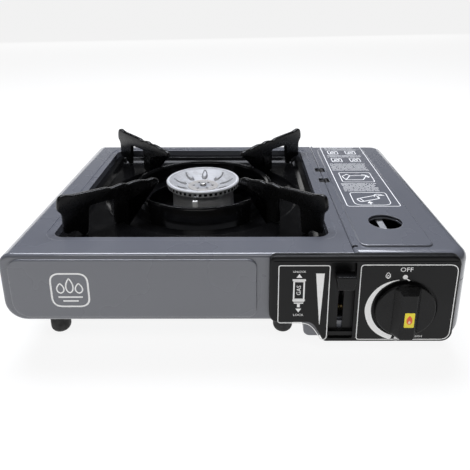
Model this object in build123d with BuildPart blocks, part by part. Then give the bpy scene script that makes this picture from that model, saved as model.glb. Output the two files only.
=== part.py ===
"""Portable single-burner camping stove that runs on a lying gas cartridge.

Frame: +X is to the right of the person using it, +Y points away from them, +Z is up.
The origin is on the table under the middle of the whole stove. Lengths are millimetres.
"""
from build123d import *
from math import cos, radians, sin
import os

# ---- driving dimensions: the case ----
WIDTH = 340.0                 # over the sheet-metal case
CASE_DEPTH = 269.0            # front wall to back wall, without the knob
KNOB_REACH = 15.0             # how far the knob grip stands in front of the case
TOP = 84.0                    # top sheet above the table
FLOOR_LEFT = 29.0             # underside of the case on the burner side
FLOOR_RIGHT = 16.0            # underside of the cartridge bay, which hangs lower
SHEET = 1.0                   # pressed steel sheet
FRONT = -(CASE_DEPTH + KNOB_REACH) / 2 + KNOB_REACH
BACK = FRONT + CASE_DEPTH
LEFT = -WIDTH / 2
RIGHT = WIDTH / 2
SIDE_ROLL = 9.5               # long top edge on the left
FRONT_ROLL = 3.0              # border rolled round the front wall
BACK_ROLL = 5.0
BOTTOM_ROLL = 16.0            # long bottom edge on the left
BORDER = 4.0                  # depth of the rolled border behind the front and back walls
SHELL_EDGE = 85.3             # right-hand edge of the top sheet, beside the lid
PANEL_RISE = 1.6              # raised field of the front wall
STEP_ROLL = 5.0               # bends where the underside steps down

# ---- driving dimensions: burner well and pan support ----
BURNER_X = -33.0
BURNER_Y = FRONT + 142.0
WELL_X = -33.9                # middle of the opening in the top sheet
WELL_Y = FRONT + 140.25
WELL_WIDTH = 212.8
WELL_DEPTH = 223.5
WELL_CORNER = 9.0
WELL_DROP = 8.0               # ledge that carries the tray, below the top sheet
LEDGE = 6.0
BEAD = 6.0                    # shallow step pressed round the opening
BEAD_SINK = 0.6
RIM_RADIUS = 35.0             # burner head
RIM_TOP = 89.0
RING_FOOT = 83.0              # lower edge of the slotted ring, on the burner base
PORTS = 44                    # flame slots round the ring
COLLAR_RADIUS = 64.5          # raised ring of the drip tray, at its lip
COLLAR_TOP = 86.0
HORN_TOP = 113.0              # highest point of the pan support
ARM_THICK = 4.0
TRAY_PLAY = 0.4               # tray edge to the wall of the opening
TRAY_RIM = TOP - WELL_DROP + 0.5
TRAY_FLAT = 73.0              # level of the flat border inside the sloped rim
TRAY_FLOOR = 67.0             # level of the ring floor round the collar
FLOOR_RADIUS = 88.0
WALL = 1.0                    # enamelled sheet of the tray
# One arm seen from its side: distance from the burner axis and height.
LEG_HIGH = TRAY_FLAT + WALL
LEG_LOW = TRAY_FLOOR + WALL
ARM_OUTLINE = ((52, 103), (57, 105.5), (64, 105), (78, 107.7), (83.5, 107), (90, 109), (100, 107.5),
               (104, 109), (134, 111), (142, HORN_TOP), (147, 108), (148, 101), (144, 97), (144, 79.5),
               (133.5, 79.5), (129, LEG_HIGH), (123.5, LEG_HIGH), (121, 97.5), (98.5, 97.5), (98.7, LEG_HIGH),
               (91.5, LEG_HIGH), (87.3, LEG_LOW), (84.5, LEG_LOW), (84, 91.5), (60, 96), (52, 99))

# ---- driving dimensions: cartridge bay and lid ----
BAY_LEFT = 51.0               # where the underside steps down to the bay
SHIELD_X = 83.2               # left face of the heat shield
CAN_X = 122.9
CAN_Z = 51.5
PIVOT_X = 88.1                # lid hinge axis
PIVOT_Z = 81.9
CURL = 2.1                    # outer radius of the curl round the hinge pin
PIN = 0.9
HOOKS = (150.3, 181.0)         # hinge hooks, measured back from the front wall
HOOK_WIDTH = 10.4
LID_RISE = 1.5                # raised field of the lid
LID_SKIRT = 62.0              # height of the lower edge of the lid's side skirt
CORNER = 14.0                 # upright corners on the right-hand side

# ---- driving dimensions: controls ----
FASCIA_LEFT = 25.0
FASCIA_RIGHT = 160.0
FASCIA_TOP = 85.4
FASCIA_BOTTOM = 14.6
FASCIA_STEP = 31.0            # lower edge of the fascia's left end
FASCIA_FACE = FRONT - 6.0
FASCIA_BACK = FRONT - 0.4
FASCIA_WALL = 2.0
KNOB_X = 122.9
KNOB_Z = 43.0
DIAL_RADIUS = 21.7
GRIP_LENGTH = 41.6            # bar across the dial
GRIP_BASE = 19.2
GRIP_FACE = 10.8
FACET_LOW = 16.2              # lower edge of the slanted facet, above the dial's middle
TAP_HOLE = 12.0               # hole in the front wall for the gas tap
SLOT_X = 77.2                 # upright slot of the lock lever
LEVER_Y = FRONT + 34.0        # lock lever axle
LEVER_Z = 46.0
LEVER_SWING = 45.0
CRANK = 9.0                   # axle to the pin that moves the carriage
LEVER_SLOT = 46.0             # length of the lever's slot
RUN_GAP = 0.05                # radial play of a shaft in its bore
HANDLE_Y = FRONT - 9.0
HANDLE_Z = 68.0
SCREW = 1.4                   # shank radius of the small screws and rivets
SHELL_PADS = ((40.0, 50.0), (60.0, 42.0))       # fascia screws, x and z, in the upper shell
BAY_PADS = ((150.0, 66.0), (150.0, 24.0))       # fascia screws, x and z, in the bottom pan
TAP_SCREWS = ((103.0, 43.0), (142.8, 43.0))     # gas tap screws, x and z
BRACKET_HALF = 26.0           # half the inner width of the burner bracket
BRACKET_REACH = 36.0          # burner axis to the end of a bracket foot
BRACKET_FOOT = 31.0           # burner axis to a bracket rivet

# ---- driving dimensions: gas way and spark ----
ELECTRODE_X = -37.3
ELECTRODE_Y = FRONT + 103.0
LEAD_ROUTE = ((150, 28, 37), (143, 28, 37), (138, 33, 22), (100, 33, 21), (92, 24, 20.5), (66, 24, 20.5),
              (50, 40, 36), (0, 70, 38), (-32, 95, 40), (ELECTRODE_X, 103, 50), (ELECTRODE_X, 103, 58))
AXIS_START = Vector(69, FRONT + 66, 58)         # bend of the gas pipe, on the mixing tube's axis
AXIS_DIRECTION = (Vector(BURNER_X, BURNER_Y, 58) - AXIS_START).normalized()
AXIS_LENGTH = (Vector(BURNER_X, BURNER_Y, 58) - AXIS_START).length
PIPE_ROUTE = (Vector(100, FRONT + 16, 30), Vector(64, FRONT + 16, 30), AXIS_START,
              AXIS_START + AXIS_DIRECTION * 14)


def export(part, name):
    """Name one finished piece and write it."""
    part.label = name
    export_step(part, f"parts/{name}.step")


def upright(y):
    """Plane that faces the user at depth y, with +X to the right and +Z up."""
    return Plane.XZ.offset(-y)


def round_corner(x, y, radius):
    """Round the corner of the open sketch that lies nearest to x, y."""
    fillet(vertices().sort_by_distance((x, y))[0], radius)


def well_field(grow):
    """Outline of the burner opening, grown by a margin, in the open sketch."""
    with Locations((WELL_X, WELL_Y)):
        RectangleRounded(WELL_WIDTH + 2 * grow, WELL_DEPTH + 2 * grow, WELL_CORNER + max(grow, 0))


def case_outline(inset):
    """Left-hand case seen from the front, in the open sketch."""
    x_low, x_high = LEFT + inset, SHELL_EDGE - inset
    z_low, z_high = FLOOR_LEFT + inset, TOP - inset
    with BuildLine() as outline:
        Polyline((x_low, z_low), (x_high, z_low), (x_high, z_high), (x_low, z_high), close=True)
    make_face(outline.edges())
    round_corner(x_low, z_low, BOTTOM_ROLL - inset)
    round_corner(x_low, z_high, SIDE_ROLL - inset)


def pan_outline(inset):
    """Bottom pan seen from the front: left-hand floor, step and deeper bay, in the open sketch."""
    x_low, x_high, x_step = LEFT + inset, RIGHT - inset, BAY_LEFT + inset
    z_left, z_bay = FLOOR_LEFT + inset, FLOOR_RIGHT + inset
    with BuildLine() as outline:
        Polyline((x_low, TOP), (x_low, z_left), (x_step, z_left), (x_step, z_bay), (x_high, z_bay),
                 (x_high, TOP), close=True)
    make_face(outline.edges())
    round_corner(x_low, z_left, BOTTOM_ROLL - inset)
    round_corner(x_high, z_bay, BOTTOM_ROLL - inset)
    round_corner(x_step, z_bay, STEP_ROLL - inset)
    round_corner(x_step, z_left, STEP_ROLL + inset)


def pan_plan(inset):
    """Bottom pan seen from above, with its two rounded right-hand corners, in the open sketch."""
    x_low, x_high = LEFT + inset, RIGHT - inset
    y_low, y_high = FRONT + inset, BACK - inset
    with BuildLine() as outline:
        Polyline((x_low, y_low), (x_high, y_low), (x_high, y_high), (x_low, y_high), close=True)
    make_face(outline.edges())
    round_corner(x_high, y_low, CORNER - inset)
    round_corner(x_high, y_high, CORNER - inset)


def fascia_outline(inset):
    """Control fascia seen from the front, with its S-shaped lower left edge, in the open sketch."""
    x_low, x_high = FASCIA_LEFT + inset, FASCIA_RIGHT - inset
    z_low, z_step, z_high = FASCIA_BOTTOM + inset, FASCIA_STEP + inset, FASCIA_TOP - inset
    x_kink, x_tip = 56.5 + inset, 65.5 + inset
    with BuildLine() as outline:
        Polyline((x_low, z_step), (x_kink, z_step), (x_tip, z_low), (x_high, z_low), (x_high, z_high),
                 (x_low, z_high), close=True)
    make_face(outline.edges())
    round_corner(x_low, z_step, 7.0)
    round_corner(x_kink, z_step, 7.5)
    round_corner(x_tip, z_low, 3.5)
    round_corner(x_high, z_low, 8.0)
    round_corner(x_high, z_high, 7.0)
    round_corner(x_low, z_high, 5.0)


def lid_plan(inset):
    """Lid seen from above, in the open sketch: square on the hinge side, round on the right."""
    x_low, x_high = PIVOT_X, RIGHT - inset
    y_low, y_high = FRONT + inset, BACK - inset
    with BuildLine() as outline:
        Polyline((x_low, y_low), (x_high, y_low), (x_high, y_high), (x_low, y_high), close=True)
    make_face(outline.edges())
    round_corner(x_high, y_low, CORNER - inset)
    round_corner(x_high, y_high, CORNER - inset)


def front_field(grow):
    """Raised field of the front wall, grown by a margin, in the open sketch."""
    x_low, x_high = LEFT + 6.8 - grow, 16.2 + grow
    z_low, z_high = 32.7 - grow, 80.6 + grow
    with BuildLine() as outline:
        Polyline((x_low, z_low), (x_high, z_low), (x_high, z_high), (x_low, z_high), close=True)
    make_face(outline.edges())
    round_corner(x_low, z_low, 13.0 + grow)
    round_corner(x_low, z_high, 9.0 + grow)
    round_corner(x_high, z_low, 6.5 + grow)
    round_corner(x_high, z_high, 6.5 + grow)


os.makedirs("parts", exist_ok=True)

# =====================================================================
# Case
# =====================================================================

# The top, front, back and left walls are one deep-drawn sheet.
with BuildPart() as shell_space:
    with BuildSketch(upright(FRONT + SHEET)):
        case_outline(SHEET)
    extrude(amount=-(CASE_DEPTH - 2 * SHEET))
    space_front = shell_space.edges().group_by(Axis.Y)[0].filter_by(lambda e: e.center().X < SHELL_EDGE - 2)
    fillet(space_front, FRONT_ROLL - SHEET)
    space_back = shell_space.edges().group_by(Axis.Y)[-1].filter_by(lambda e: e.center().X < SHELL_EDGE - 2)
    fillet(space_back, BACK_ROLL - SHEET)

with BuildPart() as upper_shell:
    with BuildSketch(upright(FRONT)):
        case_outline(0)
    extrude(amount=-CASE_DEPTH)
    rim_front = upper_shell.edges().group_by(Axis.Y)[0].filter_by(lambda e: e.center().X < SHELL_EDGE - 1)
    fillet(rim_front, FRONT_ROLL)
    rim_back = upper_shell.edges().group_by(Axis.Y)[-1].filter_by(lambda e: e.center().X < SHELL_EDGE - 1)
    fillet(rim_back, BACK_ROLL)
    add(shell_space.part, mode=Mode.SUBTRACT)
    # the floor is a separate pan: only a rolled border of this sheet stays below it
    with BuildSketch(Plane.XY.offset(FLOOR_LEFT - 1)):
        with Locations(((LEFT + SHELL_EDGE) / 2, (FRONT + BACK) / 2)):
            Rectangle(SHELL_EDGE - LEFT + 4, CASE_DEPTH - 2 * BORDER)
    extrude(amount=BOTTOM_ROLL + 1, mode=Mode.SUBTRACT)
    # beside the lid the sheet turns down by 8 mm only
    with BuildSketch(Plane.XY.offset(FLOOR_LEFT - 1)):
        with Locations((SHELL_EDGE, (FRONT + BACK) / 2)):
            Rectangle(2 * SHEET + 1, CASE_DEPTH - 2 * SHEET)
    extrude(amount=TOP - FLOOR_LEFT - 7, mode=Mode.SUBTRACT)
    # shallow bead round the opening
    with BuildSketch(Plane.XY.offset(TOP - SHEET - BEAD_SINK)):
        well_field(BEAD + SHEET)
    extrude(amount=SHEET)
    with BuildSketch(Plane.XY.offset(TOP - BEAD_SINK)):
        well_field(BEAD)
    extrude(amount=SHEET, mode=Mode.SUBTRACT)
    # drop wall and ledge of the opening
    with BuildSketch(Plane.XY.offset(TOP - WELL_DROP - SHEET)):
        well_field(SHEET)
    extrude(amount=WELL_DROP + SHEET - BEAD_SINK)
    with BuildSketch(Plane.XY.offset(TOP - WELL_DROP)):
        well_field(0)
    extrude(amount=WELL_DROP + 1, mode=Mode.SUBTRACT)
    with BuildSketch(Plane.XY.offset(TOP - WELL_DROP - 2 * SHEET)):
        well_field(-LEDGE)
    extrude(amount=3 * SHEET, mode=Mode.SUBTRACT)
    # raised field of the front wall, hollow behind
    with BuildSketch(upright(FRONT + SHEET / 2)):
        front_field(0)
    extrude(amount=PANEL_RISE + SHEET / 2)
    field_edge = upper_shell.edges().group_by(Axis.Y)[0]
    fillet(field_edge, PANEL_RISE - 0.5)
    with BuildSketch(upright(FRONT + 2 * SHEET)):
        front_field(-SHEET)
    extrude(amount=PANEL_RISE + SHEET, mode=Mode.SUBTRACT)
    # front wall behind the fascia: lever slot and the fascia's screws
    with BuildSketch(upright(FRONT - 1)):
        with Locations((SLOT_X, LEVER_Z)):
            SlotOverall(LEVER_SLOT, 6, rotation=90)
        with Locations(*SHELL_PADS):
            Circle(SCREW)
    extrude(amount=-3, mode=Mode.SUBTRACT)
    # two slots where the hinge hooks reach out to the pin
    with BuildSketch(Plane.XY.offset(TOP - WELL_DROP - 2)):
        with Locations(*[(83.2, FRONT + hook) for hook in HOOKS]):
            Rectangle(4.6, HOOK_WIDTH + 1)
    extrude(amount=WELL_DROP + 4, mode=Mode.SUBTRACT)
export(upper_shell.part, "upper_shell")

# The bottom pan closes the case and hangs lower under the cartridge.
with BuildPart() as pan_space:
    with BuildSketch(upright(FRONT + SHEET)):
        pan_outline(SHEET)
    extrude(amount=-(CASE_DEPTH - 2 * SHEET))
    with BuildSketch():
        pan_plan(SHEET)
    extrude(amount=TOP, mode=Mode.INTERSECT)

with BuildPart() as base_pan:
    with BuildSketch(upright(FRONT)):
        pan_outline(0)
    extrude(amount=-CASE_DEPTH)
    with BuildSketch():
        pan_plan(0)
    extrude(amount=TOP, mode=Mode.INTERSECT)
    add(pan_space.part, mode=Mode.SUBTRACT)
    # left of the lid the pan fits between the borders of the upper shell, above the floor level
    with BuildSketch(Plane.XY.offset(FLOOR_LEFT)):
        for y_border in (FRONT + BORDER / 2, BACK - BORDER / 2):
            with Locations(((LEFT + SHELL_EDGE) / 2, y_border)):
                Rectangle(SHELL_EDGE - LEFT + 0.6, BORDER)
    extrude(amount=TOP, mode=Mode.SUBTRACT)
    # open top: left wall, bay end walls under the lid skirts, and side wall
    with BuildSketch(upright(FRONT - 1)):
        with BuildLine():
            Polyline((LEFT - 1, FLOOR_LEFT + BOTTOM_ROLL), (0, FLOOR_LEFT + BOTTOM_ROLL), (0, TOP - 9),
                     (RIGHT - CORNER - 4, TOP - 9), (RIGHT - CORNER - 4, LID_SKIRT - 0.5),
                     (RIGHT + 1, LID_SKIRT - 0.5), (RIGHT + 1, TOP + 1), (LEFT - 1, TOP + 1), close=True)
        make_face()
    extrude(amount=-(CASE_DEPTH + 2), mode=Mode.SUBTRACT)
    # air slots under the burner
    with BuildSketch(Plane((BURNER_X, BURNER_Y, FLOOR_LEFT - 1))):
        with PolarLocations(58, 8, start_angle=22.5):
            SlotOverall(20, 6, rotation=90)
    extrude(amount=3, mode=Mode.SUBTRACT)
    # front wall of the bay: gas tap, its two screws and the fascia's screws
    with BuildSketch(upright(FRONT - 1)):
        with Locations((KNOB_X, KNOB_Z)):
            Circle(TAP_HOLE)
        with Locations(*TAP_SCREWS):
            Circle(SCREW)
        with Locations(*BAY_PADS):
            Circle(SCREW)
    extrude(amount=-3, mode=Mode.SUBTRACT)
    # holes of the burner bracket's rivets
    with BuildSketch(Plane((BURNER_X, BURNER_Y, FLOOR_LEFT - 1))):
        with GridLocations(2 * BRACKET_FOOT, 18, 2, 2):
            Circle(SCREW)
    extrude(amount=3, mode=Mode.SUBTRACT)
export(base_pan.part, "base_pan")

# The heat shield parts the burner side from the cartridge bay.
with BuildPart() as heat_shield:
    with BuildSketch(Plane.YZ.offset(SHIELD_X)):
        with Locations(((FRONT + BACK) / 2, (FLOOR_RIGHT + SHEET + TOP - 8.5) / 2)):
            Rectangle(CASE_DEPTH - 2 * BORDER - 0.6, TOP - 8.5 - FLOOR_RIGHT - SHEET)
        with Locations((FRONT + 16, 30)):
            Circle(4.5, mode=Mode.SUBTRACT)
        with Locations((FRONT + 24, 20.5)):
            Circle(2.5, mode=Mode.SUBTRACT)
        with Locations((LEVER_Y, LEVER_Z + CRANK)):
            Rectangle(20, 12, mode=Mode.SUBTRACT)
        with Locations((FRONT + 150, 50)):
            with GridLocations(22, 14, 8, 2):
                SlotOverall(14, 4, mode=Mode.SUBTRACT)
    extrude(amount=SHEET)
    with BuildSketch(Plane.XY.offset(FLOOR_RIGHT + SHEET)):
        with Locations((SHIELD_X - 3, FRONT + 160)):
            Rectangle(6, 180)
    extrude(amount=SHEET)
export(heat_shield.part, "heat_shield")

# Four rubber feet.
for name, x_foot, y_foot in (("foot_front_left", -142, 30), ("foot_front_right", 38, 30),
                             ("foot_back_left", -142, 239), ("foot_back_right", 38, 239)):
    with BuildPart() as foot:
        with BuildSketch(Plane((x_foot, FRONT + y_foot, 0))):
            Circle(7.8)
        extrude(amount=FLOOR_LEFT)
        fillet(foot.edges().group_by(Axis.Z)[0], 5.5)
    export(foot.part, name)

# =====================================================================
# Lid over the cartridge bay
# =====================================================================
with BuildPart() as lid_space:
    with BuildSketch(Plane.XY.offset(LID_SKIRT - 1)):
        lid_plan(SHEET)
    extrude(amount=TOP - LID_SKIRT)
    fillet(lid_space.edges().group_by(Axis.Z)[-1].filter_by(lambda e: e.center().X > PIVOT_X + 1), 7.0)
    with BuildSketch(Plane.XY.offset(TOP - SHEET - 0.5)):
        with Locations((119, FRONT + 130.7)):
            RectangleRounded(52, 238, 5)
    extrude(amount=LID_RISE + 0.5)

with BuildPart() as lid_shell:
    with BuildSketch(Plane.XY.offset(LID_SKIRT)):
        lid_plan(0)
    extrude(amount=TOP - LID_SKIRT)
    fillet(lid_shell.edges().group_by(Axis.Z)[-1].filter_by(lambda e: e.center().X > PIVOT_X + 1), 8.0)
    # raised field with soft edges
    with BuildSketch(Plane.XY.offset(TOP - SHEET / 2)):
        with Locations((119, FRONT + 130.7)):
            RectangleRounded(54, 240, 6)
    extrude(amount=LID_RISE + SHEET / 2)
    fillet(lid_shell.edges().group_by(Axis.Z)[-1], 1.2)
    add(lid_space.part, mode=Mode.SUBTRACT)
    # dished vent: a sunk disc with a round hole
    with Locations((120.3, FRONT + 51, TOP - SHEET)):
        Cylinder(18.5, SHEET + LID_RISE, align=(Align.CENTER, Align.CENTER, Align.MIN))
        Cone(14.5, 17.5, LID_RISE + 0.01, align=(Align.CENTER, Align.CENTER, Align.MIN), mode=Mode.SUBTRACT)
    with Locations((120.3, FRONT + 51, TOP - 2.2)):
        Cylinder(18.5, 1.2, align=(Align.CENTER, Align.CENTER, Align.MIN))
        Cylinder(13.4, 12, mode=Mode.SUBTRACT)
    # front and back skirts are short
    with BuildSketch(Plane.XY.offset(LID_SKIRT - 1)):
        with Locations(((PIVOT_X + RIGHT - CORNER - 4) / 2, (FRONT + BACK) / 2)):
            Rectangle(RIGHT - CORNER - 4 - PIVOT_X + 0.1, CASE_DEPTH + 2)
    extrude(amount=TOP - 8 - LID_SKIRT + 1, mode=Mode.SUBTRACT)
    # curl round the hinge pin, left out beside the hooks and at the front notch
    with BuildSketch(upright(FRONT + 3)):
        with Locations((PIVOT_X, PIVOT_Z)):
            Circle(CURL)
    extrude(amount=-(CASE_DEPTH - 6))
    with BuildSketch(upright(FRONT - 1)):
        with Locations((PIVOT_X, PIVOT_Z)):
            Circle(PIN + RUN_GAP)
    extrude(amount=-(CASE_DEPTH + 2), mode=Mode.SUBTRACT)
    with BuildSketch(Plane.XY.offset(TOP - 6)):
        with Locations(*[(PIVOT_X, FRONT + hook) for hook in HOOKS]):
            Rectangle(5.8, HOOK_WIDTH + 1.6)
        with Locations((PIVOT_X, FRONT + 12.5)):
            Rectangle(4.4, 3)
    extrude(amount=8, mode=Mode.SUBTRACT)
export(lid_shell.part, "lid_shell")

with BuildPart() as hinge_pin:
    with BuildSketch(upright(FRONT + 4)):
        with Locations((PIVOT_X, PIVOT_Z)):
            Circle(PIN)
    extrude(amount=-(CASE_DEPTH - 8))
export(hinge_pin.part, "hinge_pin")

with BuildPart() as hinge_hooks:
    for hook in HOOKS:
        with BuildSketch(upright(FRONT + hook - HOOK_WIDTH / 2)):
            with Locations(((75 + PIVOT_X - 1) / 2, TOP - SHEET - BEAD_SINK - SHEET / 2)):
                Rectangle(PIVOT_X - 1 - 75, SHEET)
            with Locations((PIVOT_X, PIVOT_Z)):
                Circle(CURL - 0.2)
                Circle(PIN, mode=Mode.SUBTRACT)
        extrude(amount=-HOOK_WIDTH)
export(hinge_hooks.part, "hinge_hooks")

# =====================================================================
# Control fascia and knob
# =====================================================================
with BuildPart() as control_fascia:
    with BuildSketch(upright(FASCIA_BACK)):
        fascia_outline(0)
    extrude(amount=FASCIA_BACK - FASCIA_FACE)
    fillet(control_fascia.edges().group_by(Axis.Y)[0], 1.8)
    with BuildSketch(upright(FASCIA_BACK)):
        fascia_outline(FASCIA_WALL)
    extrude(amount=FASCIA_BACK - FASCIA_FACE - FASCIA_WALL, mode=Mode.SUBTRACT)
    # walls and floor of the lever recess
    with BuildSketch(upright(FASCIA_BACK)):
        with Locations((SLOT_X, 49)):
            Rectangle(22, 66)
    extrude(amount=FASCIA_BACK - FASCIA_FACE - 1)
    with BuildSketch(upright(FASCIA_FACE - 1)):
        with Locations((SLOT_X, 49.5)):
            RectangleRounded(18.2, 63, 1.5)
    extrude(amount=-5, mode=Mode.SUBTRACT)
    with BuildSketch(upright(FRONT - 1.9)):
        with Locations((SLOT_X, 21.0)):
            Rectangle(18.2, 3.6)
    extrude(amount=2.6)
    with BuildSketch(upright(FASCIA_FACE - 1)):
        with Locations((SLOT_X, LEVER_Z)):
            SlotOverall(LEVER_SLOT, 4, rotation=90)
    extrude(amount=-8, mode=Mode.SUBTRACT)
    # screw pads against the front wall
    with BuildSketch(upright(FRONT)):
        with Locations(*SHELL_PADS, *BAY_PADS):
            Circle(4.5)
    extrude(amount=4.4)
    with BuildSketch(upright(FRONT + 1)):
        with Locations(*SHELL_PADS, *BAY_PADS):
            Circle(SCREW)
    extrude(amount=5, mode=Mode.SUBTRACT)
    # seat of the dial, with the hole for its hub
    with BuildSketch(upright(FASCIA_FACE - 1)):
        with Locations((KNOB_X, KNOB_Z)):
            Circle(DIAL_RADIUS + 1.6)
    extrude(amount=-2.2, mode=Mode.SUBTRACT)
    with BuildSketch(upright(FASCIA_FACE - 1)):
        with Locations((KNOB_X, KNOB_Z)):
            Circle(6.6)
    extrude(amount=-8, mode=Mode.SUBTRACT)
    # groove under the top edge
    with BuildSketch(upright(FASCIA_FACE - 1)):
        with Locations(((FASCIA_LEFT + FASCIA_RIGHT) / 2, FASCIA_TOP - 3.4)):
            Rectangle(FASCIA_RIGHT - FASCIA_LEFT - 6, 0.9)
    extrude(amount=-1.5, mode=Mode.SUBTRACT)
export(control_fascia.part, "control_fascia")

with BuildPart() as fascia_screws:
    for x_pad, z_pad in (*SHELL_PADS, *BAY_PADS):
        with BuildSketch(upright(FRONT + SHEET)):
            with Locations((x_pad, z_pad)):
                Circle(3.0)
        extrude(amount=-1.8)
        with BuildSketch(upright(FRONT + SHEET)):
            with Locations((x_pad, z_pad)):
                Circle(SCREW)
        extrude(amount=4.5)
export(fascia_screws.part, "fascia_screws")

with BuildPart() as knob_dial:
    with BuildSketch(upright(FASCIA_FACE + 0.8)):
        with Locations((KNOB_X, KNOB_Z)):
            Circle(DIAL_RADIUS)
    extrude(amount=3.8)
    fillet(knob_dial.edges().group_by(Axis.Y)[0], 1.2)
    with BuildSketch(upright(FASCIA_FACE + 0.8)):
        with Locations((KNOB_X, KNOB_Z)):
            Circle(6.0)
    extrude(amount=-4.2)
    with BuildSketch(upright(FRONT)):
        with Locations((KNOB_X, KNOB_Z)):
            Circle(3.0)
    extrude(amount=7, mode=Mode.SUBTRACT)
export(knob_dial.part, "knob_dial")

with BuildPart() as knob_grip:
    with BuildSketch(upright(FASCIA_FACE - 3)):
        with Locations((KNOB_X, KNOB_Z)):
            RectangleRounded(GRIP_BASE, GRIP_LENGTH, 4.0)
    with BuildSketch(upright(FRONT - KNOB_REACH)):
        with Locations((KNOB_X, KNOB_Z)):
            RectangleRounded(GRIP_FACE, GRIP_LENGTH - 1.4, 2.4)
    loft()
    fillet(knob_grip.edges().group_by(Axis.Y)[0], 0.8)
    # slanted end beside the pointer mark
    with BuildSketch(Plane.YZ.offset(KNOB_X - 10)):
        with BuildLine():
            Polyline((FRONT - 10, KNOB_Z + GRIP_LENGTH / 2), (FRONT - KNOB_REACH, KNOB_Z + FACET_LOW),
                     (FRONT - KNOB_REACH - 1, KNOB_Z + FACET_LOW),
                     (FRONT - KNOB_REACH - 1, KNOB_Z + GRIP_LENGTH / 2 + 1),
                     (FRONT - 10, KNOB_Z + GRIP_LENGTH / 2 + 1), close=True)
        make_face()
    extrude(amount=20, mode=Mode.SUBTRACT)
export(knob_grip.part, "knob_grip")

with BuildPart() as valve_spindle:
    with BuildSketch(upright(FRONT - 7)):
        with Locations((KNOB_X, KNOB_Z)):
            Circle(3.0)
    extrude(amount=-22)
export(valve_spindle.part, "valve_spindle")

# =====================================================================
# Gas tap, regulator and cartridge seat
# =====================================================================
with BuildPart() as regulator_body:
    with BuildSketch(upright(FRONT + SHEET)):
        with Locations((KNOB_X, KNOB_Z)):
            RectangleRounded(50, 26, 5)
    extrude(amount=-2.4)
    with BuildSketch(upright(FRONT + SHEET + 2.4)):
        with Locations((KNOB_X, KNOB_Z)):
            Circle(18)
    extrude(amount=-20)
    fillet(regulator_body.edges().group_by(Axis.Y)[-1], 2.0)
    with BuildSketch(upright(FRONT + 22)):
        with Locations((CAN_X, CAN_Z)):
            Circle(8)
    extrude(amount=-10)
    with BuildSketch(Plane.YZ.offset(100)):
        with Locations((FRONT + 16, 30)):
            Circle(4.5)
    extrude(amount=16)
    with BuildSketch(upright(FRONT)):
        with Locations((KNOB_X, KNOB_Z)):
            Circle(3.0 + RUN_GAP)
    extrude(amount=-17, mode=Mode.SUBTRACT)
    with BuildSketch(upright(FRONT)):
        with Locations(*TAP_SCREWS):
            Circle(SCREW)
    extrude(amount=-6, mode=Mode.SUBTRACT)
export(regulator_body.part, "regulator_body")

with BuildPart() as regulator_cap:
    with BuildSketch(upright(FRONT + 23.4)):
        with Locations((KNOB_X, KNOB_Z - 7)):
            RegularPolygon(7, 6)
    extrude(amount=-5)
    fillet(regulator_cap.edges().group_by(Axis.Y)[-1], 0.8)
export(regulator_cap.part, "regulator_cap")

with BuildPart() as regulator_screws:
    for x_screw, z_screw in TAP_SCREWS:
        with BuildSketch(upright(FRONT)):
            with Locations((x_screw, z_screw)):
                Circle(2.8)
        extrude(amount=1.6)
        with BuildSketch(upright(FRONT)):
            with Locations((x_screw, z_screw)):
                Circle(SCREW)
        extrude(amount=-5)
export(regulator_screws.part, "regulator_screws")

with BuildPart() as inlet_nozzle:
    with BuildSketch(upright(FRONT + 32)):
        with Locations((CAN_X, CAN_Z)):
            Circle(6)
    extrude(amount=-3)
    with BuildSketch(upright(FRONT + 35)):
        with Locations((CAN_X, CAN_Z)):
            Circle(3.6)
    extrude(amount=-3)
    with BuildSketch(upright(FRONT + 38)):
        with Locations((CAN_X, CAN_Z)):
            Circle(3.2)
    extrude(amount=-5)
    fillet(inlet_nozzle.edges().group_by(Axis.Y)[-1], 0.8)
export(inlet_nozzle.part, "inlet_nozzle")

with BuildPart() as inlet_seal:
    with BuildSketch(upright(FRONT + 35)):
        with Locations((CAN_X, CAN_Z)):
            Circle(6.5)
            Circle(3.6, mode=Mode.SUBTRACT)
    extrude(amount=-3)
export(inlet_seal.part, "inlet_seal")

# Stop plate for the cartridge shoulder, with the tongue that finds its collar notch.
with BuildPart() as can_guide:
    with BuildSketch(upright(FRONT + 44)):
        with Locations((CAN_X, 48.3)):
            RectangleRounded(54, 62.6, 3)
        with Locations((CAN_X, CAN_Z)):
            Circle(24, mode=Mode.SUBTRACT)
    extrude(amount=-1.2)
    with BuildSketch(Plane.XY.offset(FLOOR_RIGHT + SHEET)):
        with Locations((CAN_X, FRONT + 50)):
            Rectangle(46, 12)
    extrude(amount=1.2)
    with BuildSketch(Plane.XY.offset(79.5)):
        with Locations((118.8, FRONT + 49.5)):
            Rectangle(5.2, 33)
    extrude(amount=1.2)
export(can_guide.part, "can_guide")

# Two saddles under the cartridge, joined by a floor strip.
with BuildPart() as can_cradle:
    for y_saddle in (100, 190):
        with BuildSketch(upright(FRONT + y_saddle)):
            with Locations((126, (FLOOR_RIGHT + SHEET + 32) / 2)):
                Rectangle(56, 32 - FLOOR_RIGHT - SHEET)
            with Locations((CAN_X, CAN_Z)):
                Circle(33.2, mode=Mode.SUBTRACT)
        extrude(amount=-1.2)
    with BuildSketch(Plane.XY.offset(FLOOR_RIGHT + SHEET)):
        with Locations((CAN_X, FRONT + 145.6)):
            Rectangle(26, 90)
    extrude(amount=1.0)
export(can_cradle.part, "can_cradle")

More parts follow.
